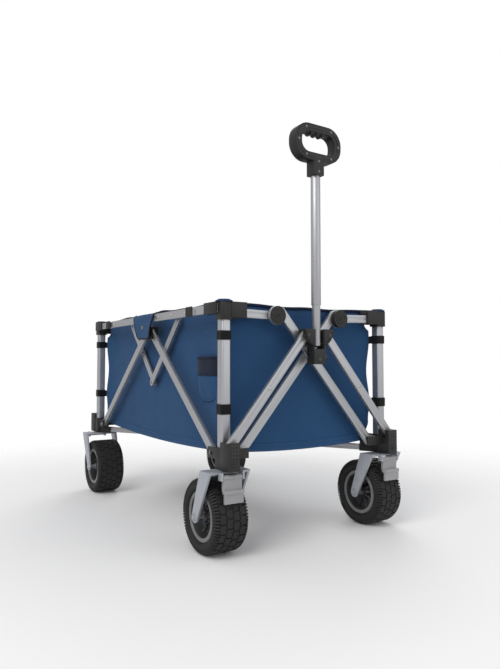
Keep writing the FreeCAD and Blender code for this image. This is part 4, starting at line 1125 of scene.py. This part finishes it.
class WAGON_OT_flaps(bpy.types.Operator):
    """Sew the side flaps over the hubs and the pocket on the right wall"""
    bl_idname = "wagon.flaps"
    bl_label = "Flaps and pocket"

    def execute(self, context):
        for side, left in SIDES.items():
            self.flap(side, left)
        self.pocket()
        return {"FINISHED"}

    def flap(self, side, left):
        outer = face_of("top_rail_f" + side, 1, left) + left * 0.0032
        top, bottom = RAIL_Z + 0.0155, face_of("side_hub_" + side, 2, -1) + 0.002
        rows, columns = 25, 31
        points, uvs = [], []
        for row in range(rows):
            share = row / (rows - 1)
            z = bottom + (top - bottom) * share
            half = 0.043 + (0.080 - 0.043) * share ** 1.1
            if share < 0.14:
                half -= 0.010 * (1 - share / 0.14) ** 2
            for column in range(columns):
                x = half * (2 * column / (columns - 1) - 1)
                sag = -0.004 * (x / 0.08) ** 2 * (1 - share)
                fold_over = -0.009 * max(0.0, (share - 0.88) / 0.12) ** 2
                belly = (0.0014 * math.sin(x * 47.0 + left) * math.sin(share * 4.0)
                         + 0.0020 * math.sin(share * math.pi))
                points.append(Vector((x, outer + left * (belly + fold_over), z + sag)))
                uvs.append((x, z))
        flap = sewn("hub_flap_" + side, points, columns, ("outer_cloth", "black_webbing"), Vector((0, 0, 0.5)), 0.0024,
                    55, uvs)
        body = "side_hub_" + side
        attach(flap, body)
        path = round_the_foot(points, columns)
        hem = tube_along("flap_binding_" + side, [spot - Vector((0, left * 0.0012, 0)) for spot in path], 0.0022,
                         "black_webbing", sides=8)
        box_uv(hem)
        ride_on(hem, body)
        inner = [spot + Vector((-0.006 * math.copysign(1, spot.x) if abs(spot.x) > 0.02 else 0, left * 0.0006,
                                0.006 if abs(spot.x) < 0.04 else 0.002)) for spot in path]
        row = ride_on(stitches("flap_stitches_" + side, inner), body)
        centre = Vector((0, outer + left * 0.0014, (top + bottom) / 2 - 0.004))
        axis = "Y" if left > 0 else "-Y"
        steps = ((0.0, 0.0012), (0.0022, 0.0012), (0.0030, 0.0026), (0.0050, 0.0026), (0.0060, 0.0016),
                 (0.0062, -0.0004))
        snap = turned("flap_snap_" + side, centre, steps, axis, "rim_ring", body)

    def pocket(self):
        """The pouch near the front right post: cloth below, a mesh window above, bound all round."""
        face = -HALF_WIDE
        left_x, right_x, low, top = 0.270, 0.384, 0.356, 0.466
        rows, columns = 33, 25
        points, uvs = [], []
        for row in range(rows):
            share = row / (rows - 1)
            for column in range(columns):
                across = 2 * column / (columns - 1) - 1
                droop = 0.010 * (abs(across) ** 3) * (1 - share) ** 4
                x = (left_x + right_x) / 2 + across * (right_x - left_x) / 2 * (1 - 0.16 * (1 - share) ** 6)
                z = low + (top - low) * share + droop * 1.6
                belly = 0.0095 * (1 - across ** 4) * math.sin(min(1.0, share * 1.15 + 0.02) * math.pi * 0.62) ** 0.7
                crease = 0.0008 * math.sin(x * 120 + z * 60) * (1 - across ** 2) * (1 - share)
                points.append(Vector((x, face - 0.0008 - belly - crease, z)))
                uvs.append((x, z))
        split = 20
        spot = Vector(((left_x + right_x) / 2, 0, 0.41))
        lower = sewn("pocket_pouch", points[:split * columns], columns, ("outer_cloth", "lining_cloth"), spot, 0.0012,
                     60, uvs)
        lie_on("right", lower)
        above = (split - 1) * columns
        window = sewn("pocket_window", points[above:], columns, ("window_mesh", "window_mesh"), spot, 0.0012, 60,
                      uvs[above:], False)
        lie_on("right", window)
        rim = points[(rows - 1) * columns:]
        seam = points[above:above + columns]
        for name, path, radius, cover in (("pocket_rim", rim, 0.0026, "lining_cloth"),
                                          ("pocket_seam", seam, 0.0018, "lining_cloth"),
                                          ("pocket_binding", round_the_foot(points, columns), 0.0018, "outer_cloth")):
            trim = tube_along(name, [spot - Vector((0, 0.0006, 0)) for spot in path], radius, cover, sides=8)
            box_uv(trim)
            lie_on("right", trim)


class WAGON_OT_straps(bpy.types.Operator):
    """Wrap the straps round the posts and the patches over the brackets"""
    bl_idname = "wagon.straps"
    bl_label = "Post straps"

    def execute(self, context):
        look = cloth()
        for corner, (ahead, left) in CORNERS.items():
            body = "post_" + corner
            for name, middle, tall in (("strap_high_", look.strap_high, look.strap_tall * 0.92),
                                       ("strap_low_", look.strap_low, look.strap_tall)):
                ride_on(self.band(name + corner, corner, middle, tall), body)
            for name, middle in (("tab_high_", look.strap_high), ("tab_low_", look.strap_low)):
                ride_on(self.tab(name + corner, ahead, left, middle, look.strap_tall * 0.86), body)
            ride_on(self.patch(corner), body)
        return {"FINISHED"}

    def patch(self, corner):
        """The cloth from the tub's corner that lies over a bracket, under its cap."""
        ahead, left = CORNERS[corner]
        centre = Vector((POST.x, POST.y, 0))
        inner = Vector((HALF_LONG - BEND * 0.5, HALF_WIDE - BEND * 0.5, 0))
        loop = []
        steps = 28
        for k in range(steps):
            angle = math.pi * (-0.72 + 1.94 * k / (steps - 1))
            loop.append(centre + Vector((math.cos(angle), math.sin(angle), 0)) * (0.0205 + 0.0008 * math.sin(k * 1.7)))
        loop += [Vector((inner.x - 0.018, inner.y + 0.004, 0)), inner - Vector((0.006, 0.006, 0)),
                 Vector((inner.x + 0.004, inner.y - 0.018, 0))]
        middle = sum(loop, Vector()) / len(loop)
        rings = []
        for height, grow in ((0.0006, 0.985), (0.0012, 1.0), (0.0026, 1.0), (0.0034, 0.97), (0.0038, 0.70)):
            ring = []
            for spot in loop:
                out = middle + (spot - middle) * grow
                wave = 0.0002 * math.sin((out - centre).length * 700)
                ring.append(Vector((out.x * ahead, out.y * left, BRACKET_TOP - 0.006 + height + wave)))
            rings.append(ring)
        piece = lofted("corner_patch_" + corner, rings, "outer_cloth")
        box_uv(piece)
        return smooth(piece, math.radians(40))

    def band(self, name, corner, middle, tall):
        """A close band of webbing round a post."""
        ahead, left = CORNERS[corner]
        half_x, half_y, bend, out = 0.013, 0.012, 0.005, 0.0026
        centre = Vector((POST.x * ahead, POST.y * left, 0))
        loop = []
        for quarter in range(4):
            for k in range(7):
                angle = math.pi / 2 * (quarter + k / 6)
                sx = 1 if quarter in (0, 3) else -1
                sy = 1 if quarter in (0, 1) else -1
                away_x, away_y = math.cos(angle), math.sin(angle)
                loop.append((sx * (half_x - bend) + away_x * bend, sy * (half_y - bend) + away_y * bend,
                             away_x, away_y))
        sections = ((-0.5, 0.0002), (-0.5, out * 0.8), (-0.44, out), (0.44, out), (0.5, out * 0.8), (0.5, 0.0002))
        rings = []
        for height, away in sections:
            ring = []
            for k, (x, y, nx, ny) in enumerate(loop):
                puff = away + (0.0006 * math.sin(k * 1.9 + height * 5.0) if abs(height) < 0.45 else 0)
                ring.append(centre + Vector((x + nx * puff, y + ny * puff, middle + tall * height)))
            rings.append(ring)
        piece = lofted(name, rings, "black_webbing", loop=True)
        box_uv(piece)
        return smooth(piece, math.radians(35))

    def tab(self, name, ahead, left, middle, tall):
        """The short strap from a post's band to the tub's corner seam."""
        start = Vector((ahead * (POST.x - 0.0125), left * (POST.y - 0.0115), middle))
        corner = Vector((ahead * (HALF_LONG - BEND), left * (HALF_WIDE - BEND), middle))
        end = corner + (start - corner).normalized() * (BEND - 0.001)
        run = end - start
        side = run.cross(Vector((0, 0, 1))).normalized()
        section = ((-0.0011, -0.5), (0.0011, -0.5), (0.0014, 0.0), (0.0011, 0.5), (-0.0011, 0.5), (-0.0014, 0.0))
        rings = []
        for k in range(7):
            share = k / 6
            spot = start + run * share - Vector((0, 0, 0.0010 * math.sin(share * math.pi)))
            rings.append([spot + side * thick + Vector((0, 0, tall * height)) for thick, height in section])
        piece = lofted(name, rings, "black_webbing")
        box_uv(piece)
        return smooth(piece, math.radians(40))


# ------------------------------------------------------------------ studio

class WAGON_OT_stage(bpy.types.Operator):
    """Set the pale floor, soft lights and camera"""
    bl_idname = "wagon.stage"
    bl_label = "Studio"

    def execute(self, context):
        look = context.scene.wagon_stage
        floor = bpy.data.meshes.new("studio_floor")
        reach = 12.0
        corners = [(-reach, -reach, 0), (reach, -reach, 0), (reach, reach, 0), (-reach, reach, 0)]
        floor.from_pydata(corners, [], [(0, 1, 2, 3)])
        piece = linked("studio_floor", floor)
        piece.location.z = -0.0008
        pale = bpy.data.materials.new("studio_floor")
        pale.use_nodes = True
        shader = pale.node_tree.nodes["Principled BSDF"]
        shader.inputs["Base Color"].default_value = (*look.floor, 1)
        shader.inputs["Roughness"].default_value = 0.75
        shader.inputs["Specular IOR Level"].default_value = 0.2
        self.faded(pale.node_tree, shader)
        floor.materials.append(pale)
        world = bpy.data.worlds.new("studio_world")
        world.use_nodes = True
        self.backdrop(world.node_tree, look.ambient)
        context.scene.world = world
        lights = (("key_light", (1.8, -3.2, 3.4), (0.0, 0.0, 0.4), 2.6, 85, (1.0, 0.99, 0.97)),
                  ("fill_light", (3.6, 1.8, 1.8), (0.2, 0.0, 0.4), 3.0, 22, (0.97, 0.98, 1.0)),
                  ("rim_light", (-2.6, 2.4, 3.0), (0.0, 0.0, 0.4), 2.4, 42, (1.0, 1.0, 1.0)))
        for name, at, to, wide, power, colour in lights:
            data = bpy.data.lights.new(name, "AREA")
            data.shape = "SQUARE"
            data.size = wide
            data.energy = power
            data.color = colour
            lamp = linked(name, data)
            lamp.location = at
            lamp.rotation_euler = (Vector(to) - Vector(at)).to_track_quat("-Z", "Y").to_euler()
        data = bpy.data.cameras.new("camera")
        data.lens = look.lens
        data.sensor_fit = "AUTO"
        data.sensor_width = 36.0
        camera = linked("camera", data)
        camera.location = look.camera_at
        camera.rotation_euler = (math.pi / 2 + look.pitch, 0.0, look.azimuth)
        context.scene.camera = camera
        context.scene.view_settings.view_transform = "Standard"
        return {"FINISHED"}

    def faded(self, tree, shader):
        """Fades the floor out away from the wagon, so that no horizon shows."""
        where = tree.nodes.new("ShaderNodeTexCoord").outputs["Object"]
        reach = add_node(tree, "ShaderNodeVectorMath", {"operation": "LENGTH"}, i0=where).outputs["Value"]
        share = add_node(tree, "ShaderNodeMapRange", {"interpolation_type": "SMOOTHSTEP"}, i0=reach, i1=0.75,
                         i2=1.9).outputs[0]
        clear = tree.nodes.new("ShaderNodeBsdfTransparent").outputs[0]
        both = add_node(tree, "ShaderNodeMixShader", i0=share, i1=shader.outputs[0], i2=clear)
        tree.links.new(both.outputs[0], tree.nodes["Material Output"].inputs["Surface"])

    def backdrop(self, tree, ambient):
        """A white backdrop that lights the wagon less than it shows."""
        soft = tree.nodes["Background"]
        soft.inputs["Color"].default_value = (1.0, 1.0, 1.0, 1.0)
        soft.inputs["Strength"].default_value = ambient
        white = add_node(tree, "ShaderNodeBackground", Color=(1.0, 1.0, 1.0, 1.0), Strength=1.0).outputs[0]
        seen = tree.nodes.new("ShaderNodeLightPath").outputs["Is Camera Ray"]
        both = add_node(tree, "ShaderNodeMixShader", i0=seen, i1=soft.outputs[0], i2=white)
        tree.links.new(both.outputs[0], tree.nodes["World Output"].inputs["Surface"])


class WAGON_PT_panel(bpy.types.Panel):
    """Steps and settings of the folding wagon"""
    bl_idname = "WAGON_PT_panel"
    bl_label = "Folding Wagon"
    bl_space_type = "VIEW_3D"
    bl_region_type = "UI"
    bl_category = "Wagon"

    def draw(self, context):
        for step in STEPS:
            self.layout.operator(step.bl_idname)
        stage = context.scene.wagon_stage
        for title, settings in (("Cloth", cloth()), ("Metal and plastic", metal()), ("Studio", stage)):
            column = self.layout.column()
            column.label(text=title)
            for key in settings.__annotations__:
                column.prop(settings, key)


STEPS = (WAGON_OT_frame, WAGON_OT_brackets, WAGON_OT_wheels, WAGON_OT_forks, WAGON_OT_grip, WAGON_OT_tub,
         WAGON_OT_flaps, WAGON_OT_straps, WAGON_OT_stage)
SETTINGS = (WagonClothSettings, WagonMetalSettings, WagonStageSettings)


def register():
    for part in (*SETTINGS, *STEPS, WAGON_PT_panel):
        bpy.utils.register_class(part)
    bpy.types.Scene.wagon_cloth = bpy.props.PointerProperty(type=WagonClothSettings)
    bpy.types.Scene.wagon_metal = bpy.props.PointerProperty(type=WagonMetalSettings)
    bpy.types.Scene.wagon_stage = bpy.props.PointerProperty(type=WagonStageSettings)


def unregister():
    del bpy.types.Scene.wagon_stage
    del bpy.types.Scene.wagon_metal
    del bpy.types.Scene.wagon_cloth
    for part in reversed((*SETTINGS, *STEPS, WAGON_PT_panel)):
        bpy.utils.unregister_class(part)


def main():
    register()
    make_cloth_materials()
    make_hard_materials()
    TREES["rivets"] = rivet_tree()
    TREES["stitches"] = stitch_tree()
    TREES["around"] = around_tree()
    for step in STEPS:
        group, action = step.bl_idname.split(".")
        getattr(getattr(bpy.ops, group), action)()


if __name__ == "__main__":
    main()
